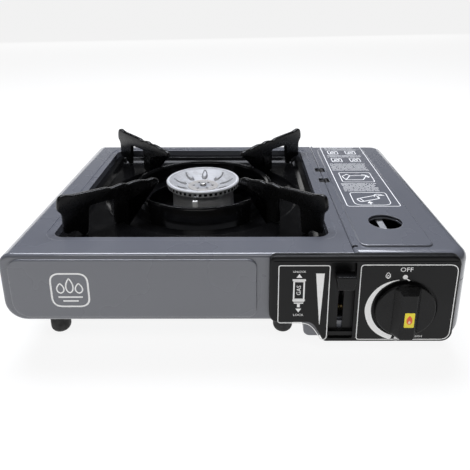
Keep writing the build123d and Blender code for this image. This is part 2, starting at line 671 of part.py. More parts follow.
# =====================================================================
# Lock lever and the carriage that it pulls forward
# =====================================================================
with BuildPart() as lever_bracket:
    with BuildSketch(upright(LEVER_Y - 8)):
        with BuildLine():
            Polyline((71, 51.5), (71, 17), (82.2, 17), (82.2, 51.5), (81, 51.5), (81, 18.2), (72.2, 18.2),
                     (72.2, 51.5), close=True)
        make_face()
    extrude(amount=-16)
    with BuildSketch(Plane.YZ.offset(70)):
        with Locations((LEVER_Y, LEVER_Z)):
            Circle(2.0)
    extrude(amount=14, mode=Mode.SUBTRACT)
export(lever_bracket.part, "lever_bracket")

with BuildPart() as lever_pin:
    with BuildSketch(Plane.YZ.offset(70.2)):
        with Locations((LEVER_Y, LEVER_Z)):
            Circle(2.0)
    extrude(amount=12.8)
export(lever_pin.part, "lever_pin")

with BuildPart() as lever_arm:
    with BuildSketch(Plane.YZ.offset(SLOT_X - 1)):
        with BuildLine():
            Polyline((HANDLE_Y - 3, HANDLE_Z + 4), (HANDLE_Y - 3, HANDLE_Z - 3), (LEVER_Y, LEVER_Z - 3.6),
                     (LEVER_Y, LEVER_Z + 3.6), close=True)
        make_face()
    extrude(amount=2)
    with BuildSketch(Plane.YZ.offset(74)):
        with Locations((LEVER_Y, LEVER_Z)):
            Circle(5)
    extrude(amount=6)
    crank_y = LEVER_Y + CRANK * sin(radians(LEVER_SWING / 2))
    crank_z = LEVER_Z + CRANK * cos(radians(LEVER_SWING / 2))
    with BuildSketch(Plane.YZ.offset(78.2)):
        with Locations(((LEVER_Y + crank_y) / 2, (LEVER_Z + crank_z) / 2)):
            SlotCenterToCenter(CRANK, 6, rotation=90 - LEVER_SWING / 2)
    extrude(amount=1.8)
    with BuildSketch(Plane.YZ.offset(78.2)):
        with Locations((crank_y, crank_z)):
            Circle(1.5)
    extrude(amount=9.6)
    with BuildSketch(Plane.YZ.offset(70)):
        with Locations((LEVER_Y, LEVER_Z)):
            Circle(2.0 + RUN_GAP)
    extrude(amount=14, mode=Mode.SUBTRACT)
export(lever_arm.part, "lever_arm")

with BuildPart() as lever_handle:
    with BuildSketch(upright(HANDLE_Y + 3.4)):
        with BuildLine():
            Polyline((71.2, 73.6), (85.2, 73.6), (84.2, 63.0), (72.6, 63.0), close=True)
        make_face()
    extrude(amount=8.4)
    fillet(lever_handle.edges().filter_by(Axis.Y), 1.0)
    fillet(lever_handle.edges().group_by(Axis.Y)[0], 0.9)
    add(lever_arm.part, mode=Mode.SUBTRACT)
export(lever_handle.part, "lever_handle")

with BuildPart() as can_carriage:
    with BuildSketch(Plane.XY.offset(FLOOR_RIGHT + SHEET + 0.4)):
        with Locations((90.4, FRONT + 138)):
            Rectangle(9.2, 208)
    extrude(amount=1.2)
    with BuildSketch(Plane.YZ.offset(85.8)):
        with Locations((LEVER_Y + 8.25, 39)):
            Rectangle(15.5, 43.2)
        with Locations((crank_y, LEVER_Z + CRANK - 0.5)):
            SlotCenterToCenter(2.4, 3.7, rotation=90, mode=Mode.SUBTRACT)
    extrude(amount=1.2)
    with BuildSketch(upright(FRONT + 240.8)):
        with Locations((115.4, 42.4)):
            RectangleRounded(59.2, 50, 4)
    extrude(amount=-1.2)
export(can_carriage.part, "can_carriage")

# =====================================================================
# Spark ignition
# =====================================================================
with BuildPart() as igniter_bracket:
    with BuildSketch(upright(FRONT + 6)):
        with BuildLine():
            Polyline((142, 17), (154, 17), (154, 28.8), (164, 28.8), (164, 30), (152.8, 30), (152.8, 18.2),
                     (142, 18.2), close=True)
        make_face()
    extrude(amount=-24)
export(igniter_bracket.part, "igniter_bracket")

with BuildPart() as piezo_igniter:
    with BuildSketch(Plane.YZ.offset(150)):
        with Locations((FRONT + 18, 37)):
            RectangleRounded(28, 14, 2)
    extrude(amount=14)
    with BuildSketch(Plane.YZ.offset(149)):
        with Locations((FRONT + 12, 37)):
            Circle(2.5 + RUN_GAP)
    extrude(amount=11, mode=Mode.SUBTRACT)
export(piezo_igniter.part, "piezo_igniter")

with BuildPart() as igniter_plunger:
    with BuildSketch(Plane.YZ.offset(143.5)):
        with Locations((FRONT + 12, 37)):
            Circle(2.5)
    extrude(amount=12.5)
    fillet(igniter_plunger.edges().group_by(Axis.X)[0], 1.0)
export(igniter_plunger.part, "igniter_plunger")

with BuildPart() as ignition_lead:
    with BuildLine() as lead_path:
        FilletPolyline(*[(x, FRONT + y, z) for x, y, z in LEAD_ROUTE], radius=3.5)
    with BuildSketch(Plane(lead_path.line @ 0, z_dir=lead_path.line % 0)):
        Circle(1.5)
    sweep(path=lead_path.line)
export(ignition_lead.part, "ignition_lead")

# =====================================================================
# Burner
# =====================================================================
def along_tube(distance):
    """Plane across the mixing tube at a distance from the bend of the gas pipe."""
    return Plane(AXIS_START + AXIS_DIRECTION * distance, x_dir=(0, 0, 1), z_dir=AXIS_DIRECTION)


with BuildPart() as burner_bracket:
    with BuildSketch(upright(BURNER_Y - 14)):
        with BuildLine():
            Polyline(*[(BURNER_X + x, z) for x, z in (
                (-BRACKET_REACH, 30), (-BRACKET_HALF, 30), (-BRACKET_HALF, 48.8), (BRACKET_HALF, 48.8),
                (BRACKET_HALF, 30), (BRACKET_REACH, 30), (BRACKET_REACH, 31.2), (BRACKET_HALF + 1.2, 31.2),
                (BRACKET_HALF + 1.2, 50), (-BRACKET_HALF - 1.2, 50), (-BRACKET_HALF - 1.2, 31.2),
                (-BRACKET_REACH, 31.2))], close=True)
        make_face()
    extrude(amount=-28)
    with BuildSketch(Plane((BURNER_X, BURNER_Y, 29))):
        with GridLocations(2 * BRACKET_FOOT, 18, 2, 2):
            Circle(SCREW)
    extrude(amount=3, mode=Mode.SUBTRACT)
export(burner_bracket.part, "burner_bracket")

with BuildPart() as bracket_rivets:
    with BuildSketch(Plane((BURNER_X, BURNER_Y, FLOOR_LEFT))):
        with GridLocations(2 * BRACKET_FOOT, 18, 2, 2):
            Circle(SCREW)
    extrude(amount=3)
    with BuildSketch(Plane((BURNER_X, BURNER_Y, 31.2))):
        with GridLocations(2 * BRACKET_FOOT, 18, 2, 2):
            Circle(2.6)
    extrude(amount=1.2)
export(bracket_rivets.part, "bracket_rivets")

with BuildPart() as burner_base:
    with BuildSketch(Plane((BURNER_X, BURNER_Y, 50))):
        Circle(29.5)
    extrude(amount=RING_FOOT - 50)
    fillet(burner_base.edges().group_by(Axis.Z)[0], 3.0)
    with BuildSketch(Plane((BURNER_X, BURNER_Y, 52))):
        Circle(27.5)
        Circle(4.0, mode=Mode.SUBTRACT)
    extrude(amount=RING_FOOT - 51, mode=Mode.SUBTRACT)
    with BuildSketch(Plane((BURNER_X, BURNER_Y, 78.8))):
        Circle(5.0)
    extrude(amount=RING_FOOT - 77, mode=Mode.SUBTRACT)
    with BuildSketch(along_tube(AXIS_LENGTH - 32)):
        Circle(7.5)
    extrude(amount=10, mode=Mode.SUBTRACT)
export(burner_base.part, "burner_base")

with BuildPart() as mixing_tube:
    with BuildSketch(along_tube(26)):
        Circle(11)
    with BuildSketch(along_tube(42)):
        Circle(7.5)
    loft()
    with BuildSketch(along_tube(42)):
        Circle(7.5)
    extrude(amount=AXIS_LENGTH - 42 - 28.6)
    with BuildSketch(along_tube(26)):
        Circle(9.8)
    with BuildSketch(along_tube(42)):
        Circle(6.3)
    loft(mode=Mode.SUBTRACT)
    with BuildSketch(along_tube(42)):
        Circle(6.3)
    extrude(amount=AXIS_LENGTH, mode=Mode.SUBTRACT)
export(mixing_tube.part, "mixing_tube")

with BuildPart() as jet_nozzle:
    with BuildSketch(along_tube(14)):
        RegularPolygon(5, 6)
    extrude(amount=6)
    with BuildSketch(along_tube(20)):
        Circle(2.6)
    extrude(amount=5, taper=8)
export(jet_nozzle.part, "jet_nozzle")

with BuildPart() as gas_pipe:
    with BuildLine() as pipe_path:
        FilletPolyline(*PIPE_ROUTE, radius=7)
    with BuildSketch(Plane(pipe_path.line @ 0, z_dir=pipe_path.line % 0)):
        Circle(2.4)
    sweep(path=pipe_path.line)
export(gas_pipe.part, "gas_pipe")

# Burner head: slotted ring, perforated cone, centre disc and its screw.
with BuildPart() as burner_ring:
    with BuildSketch(Plane.XZ) as ring_profile:
        with BuildLine():
            Polyline((26.5, RING_FOOT), (RIM_RADIUS - 0.8, RING_FOOT), (RIM_RADIUS - 0.8, RIM_TOP - 2.8),
                     (RIM_RADIUS, RIM_TOP - 2.2), (RIM_RADIUS, RIM_TOP - 1), (RIM_RADIUS - 1, RIM_TOP),
                     (RIM_RADIUS - 2.6, RIM_TOP), (RIM_RADIUS - 2.6, RIM_TOP - 2),
                     (RIM_RADIUS - 2.0, RIM_TOP - 2.6), (RIM_RADIUS - 2.0, RING_FOOT + 1.2),
                     (26.5, RING_FOOT + 1.2), close=True)
        make_face()
    revolve(axis=Axis.Z)
    with PolarLocations(RIM_RADIUS - 0.8, PORTS):
        with Locations((0, 0, RING_FOOT + 1.9)):
            Box(5, 2.7, 2.6, mode=Mode.SUBTRACT)
burner_ring.part.position = (BURNER_X, BURNER_Y, 0)
export(burner_ring.part, "burner_ring")

with BuildPart() as burner_cone:
    with BuildSketch(Plane.XZ):
        with BuildLine():
            Polyline((32.4, 87.2), (32.4, 88.6), (31.6, 88.6), (13.0, 83.6), (13.0, 82.2), (31.0, 87.0),
                     close=True)
        make_face()
    revolve(axis=Axis.Z)
    with PolarLocations(24, 9):
        with Locations((0, 0, 85.4)):
            Sphere(2.6)
burner_cone.part.position = (BURNER_X, BURNER_Y, 0)
export(burner_cone.part, "burner_cone")

with BuildPart() as burner_disc:
    with BuildSketch(Plane((BURNER_X, BURNER_Y, 81.0))):
        Circle(14.5)
        with PolarLocations(9, 6):
            Circle(1.3, mode=Mode.SUBTRACT)
    extrude(amount=1.2)
export(burner_disc.part, "burner_disc")

with BuildPart() as burner_screw:
    with BuildSketch(Plane((BURNER_X, BURNER_Y, 82.2))):
        Circle(3.2)
    extrude(amount=2.4)
    fillet(burner_screw.edges().group_by(Axis.Z)[-1], 1.4)
export(burner_screw.part, "burner_screw")

with BuildPart() as electrode_bracket:
    with BuildSketch(Plane((ELECTRODE_X, ELECTRODE_Y, 60))):
        with Locations((0, 3)):
            Rectangle(9, 15)
        Circle(2.5, mode=Mode.SUBTRACT)
    extrude(amount=1.2)
    with Locations((BURNER_X, BURNER_Y, 60)):
        Cylinder(29.5, 10, mode=Mode.SUBTRACT)
export(electrode_bracket.part, "electrode_bracket")

with BuildPart() as electrode:
    with BuildSketch(Plane((ELECTRODE_X, ELECTRODE_Y, 58))):
        Circle(2.5)
    extrude(amount=24)
    fillet(electrode.edges().group_by(Axis.Z)[-1], 0.8)
    with BuildSketch(Plane((ELECTRODE_X, ELECTRODE_Y, 61.2))):
        Circle(3.6)
    extrude(amount=3)
export(electrode.part, "electrode")

with BuildPart() as spark_tip:
    with BuildSketch(Plane((ELECTRODE_X, ELECTRODE_Y, 82))):
        Circle(0.7)
    extrude(amount=4)
export(spark_tip.part, "spark_tip")

# =====================================================================
# Pan support: enamelled drip tray with four arms, lifted out for cleaning
# =====================================================================
with BuildPart() as drip_tray:
    with BuildSketch(Plane.XY.offset(TRAY_RIM)):
        well_field(-TRAY_PLAY)
    extrude(amount=WALL)
    with BuildSketch(Plane.XY.offset(TRAY_RIM + WALL)):
        well_field(-5.5)
    extrude(amount=-(TRAY_RIM + WALL - TRAY_FLAT), taper=45)
    with BuildSketch(Plane((BURNER_X, BURNER_Y, TRAY_FLAT))):
        Circle(FLOOR_RADIUS + 4)
    extrude(amount=-(TRAY_FLAT - TRAY_FLOOR), taper=30)
    with BuildSketch(Plane.XY.offset(TRAY_RIM + 2 * WALL)):
        well_field(-5.5)
    extrude(amount=-(TRAY_RIM + WALL - TRAY_FLAT), taper=45, mode=Mode.SUBTRACT)
    with BuildSketch(Plane((BURNER_X, BURNER_Y, TRAY_FLAT + WALL))):
        Circle(FLOOR_RADIUS + 4)
    extrude(amount=-(TRAY_FLAT - TRAY_FLOOR), taper=30, mode=Mode.SUBTRACT)
    with BuildSketch(Plane((BURNER_X, BURNER_Y, TRAY_FLOOR - 1))):
        Circle(71)
    extrude(amount=12, mode=Mode.SUBTRACT)
export(drip_tray.part, "drip_tray")

with BuildPart() as tray_collar:
    with BuildSketch(Plane.XZ):
        with BuildLine():
            Polyline((71, TRAY_FLOOR), (71, TRAY_FLOOR + WALL), (67.2, 82), (66.4, 84.4),
                     (COLLAR_RADIUS + 0.4, COLLAR_TOP), (COLLAR_RADIUS - 1.2, COLLAR_TOP), (61.6, 84.2),
                     (60.6, 70), (53, 69), (53, 68), (61.5, 69), (62.6, 83.6), (COLLAR_RADIUS - 0.6, 85),
                     (65.4, 83.8), (66.2, 81.6), (69.4, TRAY_FLOOR), close=True)
        make_face()
    revolve(axis=Axis.Z)
tray_collar.part.position = (BURNER_X, BURNER_Y, 0)
export(tray_collar.part, "tray_collar")

for number, bearing in enumerate((225, 315, 45, 135), start=1):
    arm_plane = Plane((BURNER_X, BURNER_Y, 0), x_dir=(cos(radians(bearing)), sin(radians(bearing)), 0),
                      z_dir=(sin(radians(bearing)), -cos(radians(bearing)), 0))
    with BuildPart() as support_arm:
        with BuildSketch(arm_plane.offset(-ARM_THICK / 2)):
            with BuildLine():
                Polyline(*ARM_OUTLINE, close=True)
            make_face()
        extrude(amount=ARM_THICK)
    export(support_arm.part, f"support_arm_{number}")
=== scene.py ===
"""Looks of the portable gas camping stove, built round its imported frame.

The file is laid out as a Blender add-on: sizes and colours to change, one operator for each
piece or group of pieces and one for the stage, and a panel that lists them.

Shape functions count in millimetres in the shared frame: +X to the user's right, +Y away from
the user, +Z up, origin on the table under the middle of the stove.
"""
import math

import bmesh
import bpy
import numpy as np
from bpy.props import FloatProperty, FloatVectorProperty, PointerProperty
from mathutils import Matrix, Vector


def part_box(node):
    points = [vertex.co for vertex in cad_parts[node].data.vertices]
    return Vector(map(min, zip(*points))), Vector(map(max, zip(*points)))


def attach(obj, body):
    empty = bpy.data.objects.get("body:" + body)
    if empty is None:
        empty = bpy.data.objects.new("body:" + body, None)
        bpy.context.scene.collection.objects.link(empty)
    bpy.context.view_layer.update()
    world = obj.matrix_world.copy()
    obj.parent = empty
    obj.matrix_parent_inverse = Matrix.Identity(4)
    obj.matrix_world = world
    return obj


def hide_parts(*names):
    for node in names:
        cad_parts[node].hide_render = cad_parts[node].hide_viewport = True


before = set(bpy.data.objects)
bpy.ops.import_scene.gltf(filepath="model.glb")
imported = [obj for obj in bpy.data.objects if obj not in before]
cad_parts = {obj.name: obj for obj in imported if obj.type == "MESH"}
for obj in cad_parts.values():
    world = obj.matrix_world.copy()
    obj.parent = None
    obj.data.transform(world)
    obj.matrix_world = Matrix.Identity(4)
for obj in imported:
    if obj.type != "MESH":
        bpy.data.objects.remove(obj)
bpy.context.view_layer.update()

bl_info = {
    "name": "Camping stove looks",
    "version": (1, 0, 0),
    "blender": (4, 5, 0),
    "location": "3D View > Sidebar > Stove",
    "description": "Finishes, print, burner and pan support of a portable gas stove",
    "category": "Object",
}

MM = 0.001


def box_mm(node):
    """Lowest and highest corner of a CAD node in millimetres."""
    low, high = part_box(node)
    return np.array(low) / MM, np.array(high) / MM


TEARS = 9                     # teardrops on the burner cone
TEAR_TURN = math.pi / 18      # bearing of the first teardrop
TEAR_MIDDLE = 23.0            # burner axis to the middle of a teardrop
TEAR_HALF = 5.2               # half a teardrop's length
CONE_INNER, CONE_OUTER = 13.0, 32.3
CONE_SHEET = 0.6


# ---- places taken from the frame ----
FRONT = box_mm("base_pan")[0][1]
FASCIA_FACE = box_mm("control_fascia")[0][1]
LID_TOP = box_mm("lid_shell")[1][2]
RING_LOW, RING_HIGH = box_mm("burner_ring")
BURNER = (RING_LOW + RING_HIGH) / 2
SLOT_SKIN = RING_HIGH[0] - BURNER[0] - 1.1       # deeper than this the ring is painted near black as shade
SLOT_TOP = RING_HIGH[2] - 2.7
PAINTED_SHADE_EDGE = 0.2
DIAL_LOW, DIAL_HIGH = box_mm("knob_dial")
DIAL = (DIAL_LOW + DIAL_HIGH) / 2
GRIP_FACE = box_mm("knob_grip")[0][1]
FIELD_FACE = box_mm("upper_shell")[0][1]


# ======== Shapes: surfaces on a grid, worked out as whole arrays ========
class Shape:
    """Gathers surfaces and turns them into one mesh piece."""

    def __init__(self):
        self.points = []
        self.faces = []
        self.count = 0

    def grid(self, points, wrap_u=False, wrap_v=False, caps=False):
        """Quads between neighbours of points[u, v]; wrap joins the last to the first, and caps close
        both ends of u."""
        rows, columns = points.shape[:2]
        index = np.arange(rows * columns).reshape(rows, columns) + self.count
        if caps:
            self.faces += [index[0, ::-1].tolist(), index[-1].tolist()]
        if wrap_u:
            index = np.vstack([index, index[:1]])
        if wrap_v:
            index = np.hstack([index, index[:, :1]])
        quads = np.stack([index[:-1, :-1], index[1:, :-1], index[1:, 1:], index[:-1, 1:]], axis=-1)
        self.faces += quads.reshape(-1, 4).tolist()
        self.points.append(points.reshape(-1, 3))
        self.count += rows * columns

    def mesh_copy(self, vertices, faces):
        """Adds ready vertices and faces, such as those of a letter."""
        self.faces += [[corner + self.count for corner in face] for face in faces]
        self.points.append(vertices)
        self.count += len(vertices)

    def sheet(self, name, finish):
        """Makes an object of the surfaces as they are."""
        mesh = bpy.data.meshes.new(name)
        mesh.from_pydata(np.vstack(self.points) * MM, [], self.faces)
        mesh.materials.append(finish)
        made = bpy.data.objects.new(name, mesh)
        bpy.context.scene.collection.objects.link(made)
        return made

    def piece(self, name, body, finish, slot=None, smooth=38.0):
        """Makes an object with outward normals and soft shading, and rides it on a body."""
        made = self.sheet(name, finish)
        work = bmesh.new()
        work.from_mesh(made.data)
        bmesh.ops.recalc_face_normals(work, faces=work.faces)
        work.to_mesh(made.data)
        work.free()
        made.data.shade_smooth()
        made.data.set_sharp_from_angle(angle=math.radians(smooth))
        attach(made, body)
        return made


def rounded(corners, radius, steps=6):
    """Closed outline whose corners are eased: each corner P becomes the curve
    (1-s)^2 A + 2s(1-s) P + s^2 B, where A and B lie one radius back along the two sides, or 0.48 of a
    side where that is shorter."""
    corner = np.asarray(corners, float)
    ease = np.broadcast_to(np.asarray(radius, float), len(corner))[:, None]
    before, after = np.roll(corner, 1, axis=0) - corner, np.roll(corner, -1, axis=0) - corner
    span_before = np.linalg.norm(before, axis=1, keepdims=True)
    span_after = np.linalg.norm(after, axis=1, keepdims=True)
    start = corner + before / span_before * np.minimum(ease, span_before * 0.48)
    end = corner + after / span_after * np.minimum(ease, span_after * 0.48)
    s = np.linspace(0, 1, steps)[None, :, None]
    curve = (1 - s) ** 2 * start[:, None] + 2 * s * (1 - s) * corner[:, None] + s**2 * end[:, None]
    return curve.reshape(-1, 2)


def sideways(path, closed):
    """Vectors across a flat path, a quarter turn to the left of its direction; each is 1 / cos(half the
    bend) long, so that a stroke keeps its width round a corner."""
    if closed:
        ahead = np.roll(path, -1, axis=0) - path
        behind = path - np.roll(path, 1, axis=0)
    else:
        step = np.diff(path, axis=0)
        ahead = np.vstack([step, step[-1:]])
        behind = np.vstack([step[:1], step])
    ahead = ahead / np.maximum(np.linalg.norm(ahead, axis=1, keepdims=True), 1e-9)
    behind = behind / np.maximum(np.linalg.norm(behind, axis=1, keepdims=True), 1e-9)
    middle = ahead + behind
    middle = middle / np.maximum(np.linalg.norm(middle, axis=1, keepdims=True), 1e-9)
    across = np.stack([-middle[:, 1], middle[:, 0]], axis=1)
    lean = np.clip(np.sum(middle * ahead, axis=1, keepdims=True), 0.5, 1.0)
    return across / lean


INK = 0.06                    # how far print stands proud of its surface
CAPITAL = 0.7                 # height of a capital in parts of the font's size


class Print:
    """Ink on a flat face: every mark is a thin closed slab. page(a, b, h) places a flat point at height h."""

    def __init__(self, page):
        self.shape = Shape()
        self.page = page

    def slab(self, outline, ink=INK):
        """A filled mark: the outline at height 0 and at the ink's height, closed at both ends."""
        outline = np.asarray(outline, float)
        a, b = outline[:, 0], outline[:, 1]
        rings = np.stack([self.page(a, b, height + 0 * a) for height in (-ink, ink)])
        self.shape.grid(rings, wrap_v=True, caps=True)

    def band(self, inner, outer, ink=INK):
        """A mark between two open edges that run side by side."""
        self.slab(np.vstack([inner, outer[::-1]]), ink)

    def line(self, path, width, closed=True, ink=INK):
        """A stroke of constant width: the path moved half a width to each side, with a square section."""
        path = np.asarray(path, float)
        across = sideways(path, closed) * width / 2
        left, right = path + across, path - across
        rims = [(left, -ink), (left, ink), (right, ink), (right, -ink)]
        section = np.stack([self.page(e[:, 0], e[:, 1], h + 0 * e[:, 0]) for e, h in rims], axis=1)
        self.shape.grid(section, wrap_u=closed, wrap_v=True, caps=not closed)

    def letters(self, text, middle, height, turn=0.0, stretch=1.0):
        """A word whose capitals are so high, centred on a point of the page."""
        curve = bpy.data.curves.new("word", "FONT")
        curve.body = text
        curve.align_x, curve.align_y = "CENTER", "CENTER"
        curve.size = height / CAPITAL
        curve.extrude = 1.0
        curve.resolution_u = 3
        holder = bpy.data.objects.new("word", curve)
        bpy.context.scene.collection.objects.link(holder)
        mesh = bpy.data.meshes.new_from_object(holder)
        flat = np.empty(len(mesh.vertices) * 3)
        mesh.vertices.foreach_get("co", flat)
        flat = flat.reshape(-1, 3)
        a, b = flat[:, 0] * stretch, flat[:, 1]
        c, s = math.cos(turn), math.sin(turn)
        placed = self.page(middle[0] + a * c - b * s, middle[1] + a * s + b * c, flat[:, 2] * INK)
        self.shape.mesh_copy(placed, [list(face.vertices) for face in mesh.polygons])
        bpy.data.objects.remove(holder)
        bpy.data.curves.remove(curve)
        bpy.data.meshes.remove(mesh)


def upright_page(face):
    """Page on an upright face that the user sees: a to the right, b up, h towards the user."""
    return lambda a, b, h: np.stack([a, face - h, b], axis=-1)


def lid_page(a, b, h):
    """Page on the lid's raised field: a to the right, b away from the user, h up."""
    return np.stack([a, b, LID_TOP + h], axis=-1)


def arc(middle, radius, start, end, steps=24):
    """Points on a circle between two bearings in degrees; the radius may change along the way."""
    t = np.radians(np.linspace(start, end, steps))
    reach = np.interp(np.linspace(0, 1, steps), np.linspace(0, 1, np.size(radius)), np.atleast_1d(radius))
    return np.stack([middle[0] + reach * np.cos(t), middle[1] + reach * np.sin(t)], axis=1)


DROP_SWELL = 1.45             # makes a drop as wide as asked


def drop(middle, width, height, steps=28):
    """A flame-like drop, pointed at the top: as t goes round from 0 to 2 pi, y = -h/2 cos(t) and
    x = 1.45 w/2 sin(t) |cos(t/2)|^0.75 |sin(t/2)|^0.2."""
    t = np.linspace(0, 2 * math.pi, steps, endpoint=False)
    swell = np.abs(np.sin((math.pi - np.abs(math.pi - t)) / 2)) ** 0.2
    x = width / 2 * np.sin(t) * np.abs(np.cos(t / 2)) ** 0.75 * DROP_SWELL * swell
    y = -height / 2 * np.cos(t)
    return np.stack([middle[0] + x, middle[1] + y], axis=1)


# ======== Finishes: node drawings written as sums ========
def joined(operation, swapped=False):
    """A method of Number that joins it to another with one Math node."""

    def method(self, other):
        terms = (other, self) if swapped else (self, other)
        return self._sum(operation, *terms)

    return method


class Number:
    """A number on a drawing. The usual signs add the Math nodes that work it out."""

    def __init__(self, drawing, socket):
        self.drawing = drawing
        self.socket = socket

    def _sum(self, operation, *terms):
        made = self.drawing.node("ShaderNodeMath", {"operation": operation}, dict(enumerate(terms)))
        return Number(self.drawing, made.outputs[0])

    __add__ = joined("ADD")
    __radd__ = joined("ADD", True)
    __sub__ = joined("SUBTRACT")
    __rsub__ = joined("SUBTRACT", True)
    __mul__ = joined("MULTIPLY")
    __rmul__ = joined("MULTIPLY", True)
    __truediv__ = joined("DIVIDE")
    __pow__ = joined("POWER")

    def wave(self):
        """Its sine."""
        return self._sum("SINE", self)

    def turn_from(self, other):
        """The bearing of the point (other, self)."""
        return self._sum("ARCTAN2", self, other)

    def fade(self, low, high, to_low=0.0, to_high=1.0):
        """Runs smoothly from one value to another while the number goes from low to high."""
        made = self.drawing.node("ShaderNodeMapRange", {"interpolation_type": "SMOOTHSTEP"},
                                 {0: self, 1: low, 2: high, 3: to_low, 4: to_high})
        return Number(self.drawing, made.outputs[0])


class Drawing:
    """One finish, with a Principled shader at its end."""

    def __init__(self, name, colour, rough, metal=0.0, coat=0.0, coat_rough=0.05, shine=0.5):
        self.finish = bpy.data.materials.new(name)
        self.finish.use_nodes = True
        self.finish.diffuse_color = (*colour, 1.0)
        self.tree = self.finish.node_tree
        self.tree.nodes.clear()
        self.colour = (*colour, 1.0)
        self.shader = self.node("ShaderNodeBsdfPrincipled", {}, {
            "Base Color": self.colour, "Roughness": rough, "Metallic": metal,
            "Coat Weight": coat, "Coat Roughness": coat_rough, "Specular IOR Level": shine})
        self.node("ShaderNodeOutputMaterial", {}, {"Surface": self.shader.outputs[0]})
        self.here = self.node("ShaderNodeTexCoord").outputs["Object"]

    def node(self, kind, settings=None, values=None):
        """Adds a node: its settings first, then the values or links of its sockets."""
        made = self.tree.nodes.new(kind)
        for key, value in (settings or {}).items():
            setattr(made, key, value)
        for key, value in (values or {}).items():
            value = value.socket if isinstance(value, Number) else value
            if isinstance(value, bpy.types.NodeSocket):
                self.tree.links.new(value, made.inputs[key])
            else:
                made.inputs[key].default_value = value
        return made

    def give(self, **sockets):
        """Links worked-out values to the shader; an underscore stands for a space."""
        for key, value in sockets.items():
            value = value.socket if isinstance(value, Number) else value
            self.tree.links.new(value, self.shader.inputs[key.replace("_", " ")])

    def place(self, middle=(0, 0, 0), turn=(0, 0, 0), stretch=(1, 1, 1)):
        """Object coordinates centred on a point in millimetres, turned and stretched."""
        centre = tuple(value * MM for value in middle)
        return self.node("ShaderNodeMapping", {"vector_type": "TEXTURE"},
                         {0: self.here, "Location": centre, "Rotation": turn, "Scale": stretch}).outputs[0]

    def axes(self, vector):
        """The three numbers of a vector."""
        return [Number(self, out) for out in self.node("ShaderNodeSeparateXYZ", {}, {0: vector}).outputs]

    def vector(self, x, y, z):
        """Three numbers as a vector."""
        return self.node("ShaderNodeCombineXYZ", {}, {0: x, 1: y, 2: z}).outputs[0]

    def noise(self, scale, detail=3.0, rough=0.55, vector=None):
        """Cloudy noise; scale counts per metre."""
        made = self.node("ShaderNodeTexNoise", {}, {"Vector": vector or self.here, "Scale": scale,
                                                    "Detail": detail, "Roughness": rough})
        return Number(self, made.outputs[0])

    def cells(self, scale, feature="F1", vector=None, out=0):
        """Cell pattern; scale counts per metre."""
        made = self.node("ShaderNodeTexVoronoi", {"feature": feature},
                         {"Vector": vector or self.here, "Scale": scale})
        return Number(self, made.outputs[out])

    def blend(self, share, first, second):
        """Colour that goes from the first to the second as share goes from 0 to 1."""
        first = (*first, 1.0) if isinstance(first, tuple) and len(first) == 3 else first
        second = (*second, 1.0) if isinstance(second, tuple) and len(second) == 3 else second
        return self.node("ShaderNodeMix", {"data_type": "RGBA"}, {0: share, 6: first, 7: second}).outputs[2]

    def bump(self, height, depth_mm, strength=1.0, under=None):
        """Normal of a surface whose height in parts of depth_mm is worked out."""
        values = {"Height": height, "Strength": strength, "Distance": depth_mm * MM}
        if under is not None:
            values["Normal"] = under
        return self.node("ShaderNodeBump", {}, values).outputs[0]

    def eased(self, radius_mm):
        """Normal of the same surface with its edges rounded."""
        return self.node("ShaderNodeBevel", {"samples": 8}, {"Radius": radius_mm * MM}).outputs[0]

    def edges(self, radius_mm):
        """Share from 0 to 1 that is high along edges, where the eased normal leaves the true one."""
        true = self.node("ShaderNodeNewGeometry").outputs["Normal"]
        dot = self.node("ShaderNodeVectorMath", {"operation": "DOT_PRODUCT"},
                        {0: self.eased(radius_mm), 1: true})
        return Number(self, dot.outputs["Value"]).fade(0.985, 0.80)

    def polar(self, middle):
        """Distance from an upright axis in metres, and the bearing round it."""
        x, y, _ = self.axes(self.place(middle))
        return (x * x + y * y) ** 0.5, y.turn_from(x)


def tint(colour, factor):
    """The colour, lighter or darker."""
    return tuple(min(1.0, part * factor) for part in colour)


# ======== Sizes and colours a user would change ========
def colour_of(name, words, value):
    """A colour setting."""
    return FloatVectorProperty(name=name, description=words, subtype="COLOR", size=3, min=0.0, max=1.0,
                               default=value)


class StoveColours(bpy.types.PropertyGroup):
    """Colours of the stove's finishes."""

    case: colour_of("Case paint", "Enamel of the case and the lid", (0.138, 0.144, 0.166))
    enamel: colour_of("Black enamel", "Drip tray and pan support", (0.0028, 0.0028, 0.0030))
    plastic: colour_of("Control plastic", "Control panel, knob and lever", (0.0062, 0.0062, 0.0065))
    ink: colour_of("Print", "Ink on the panel and the lid", (1.0, 1.0, 0.99))
    sticker: colour_of("Sticker", "Field of the sticker on the knob", (0.99, 0.83, 0.02))
    flame: colour_of("Flame mark", "Drop on the sticker", (0.88, 0.07, 0.01))
    floor: colour_of("Floor", "Plain floor", (0.18, 0.18, 0.18))


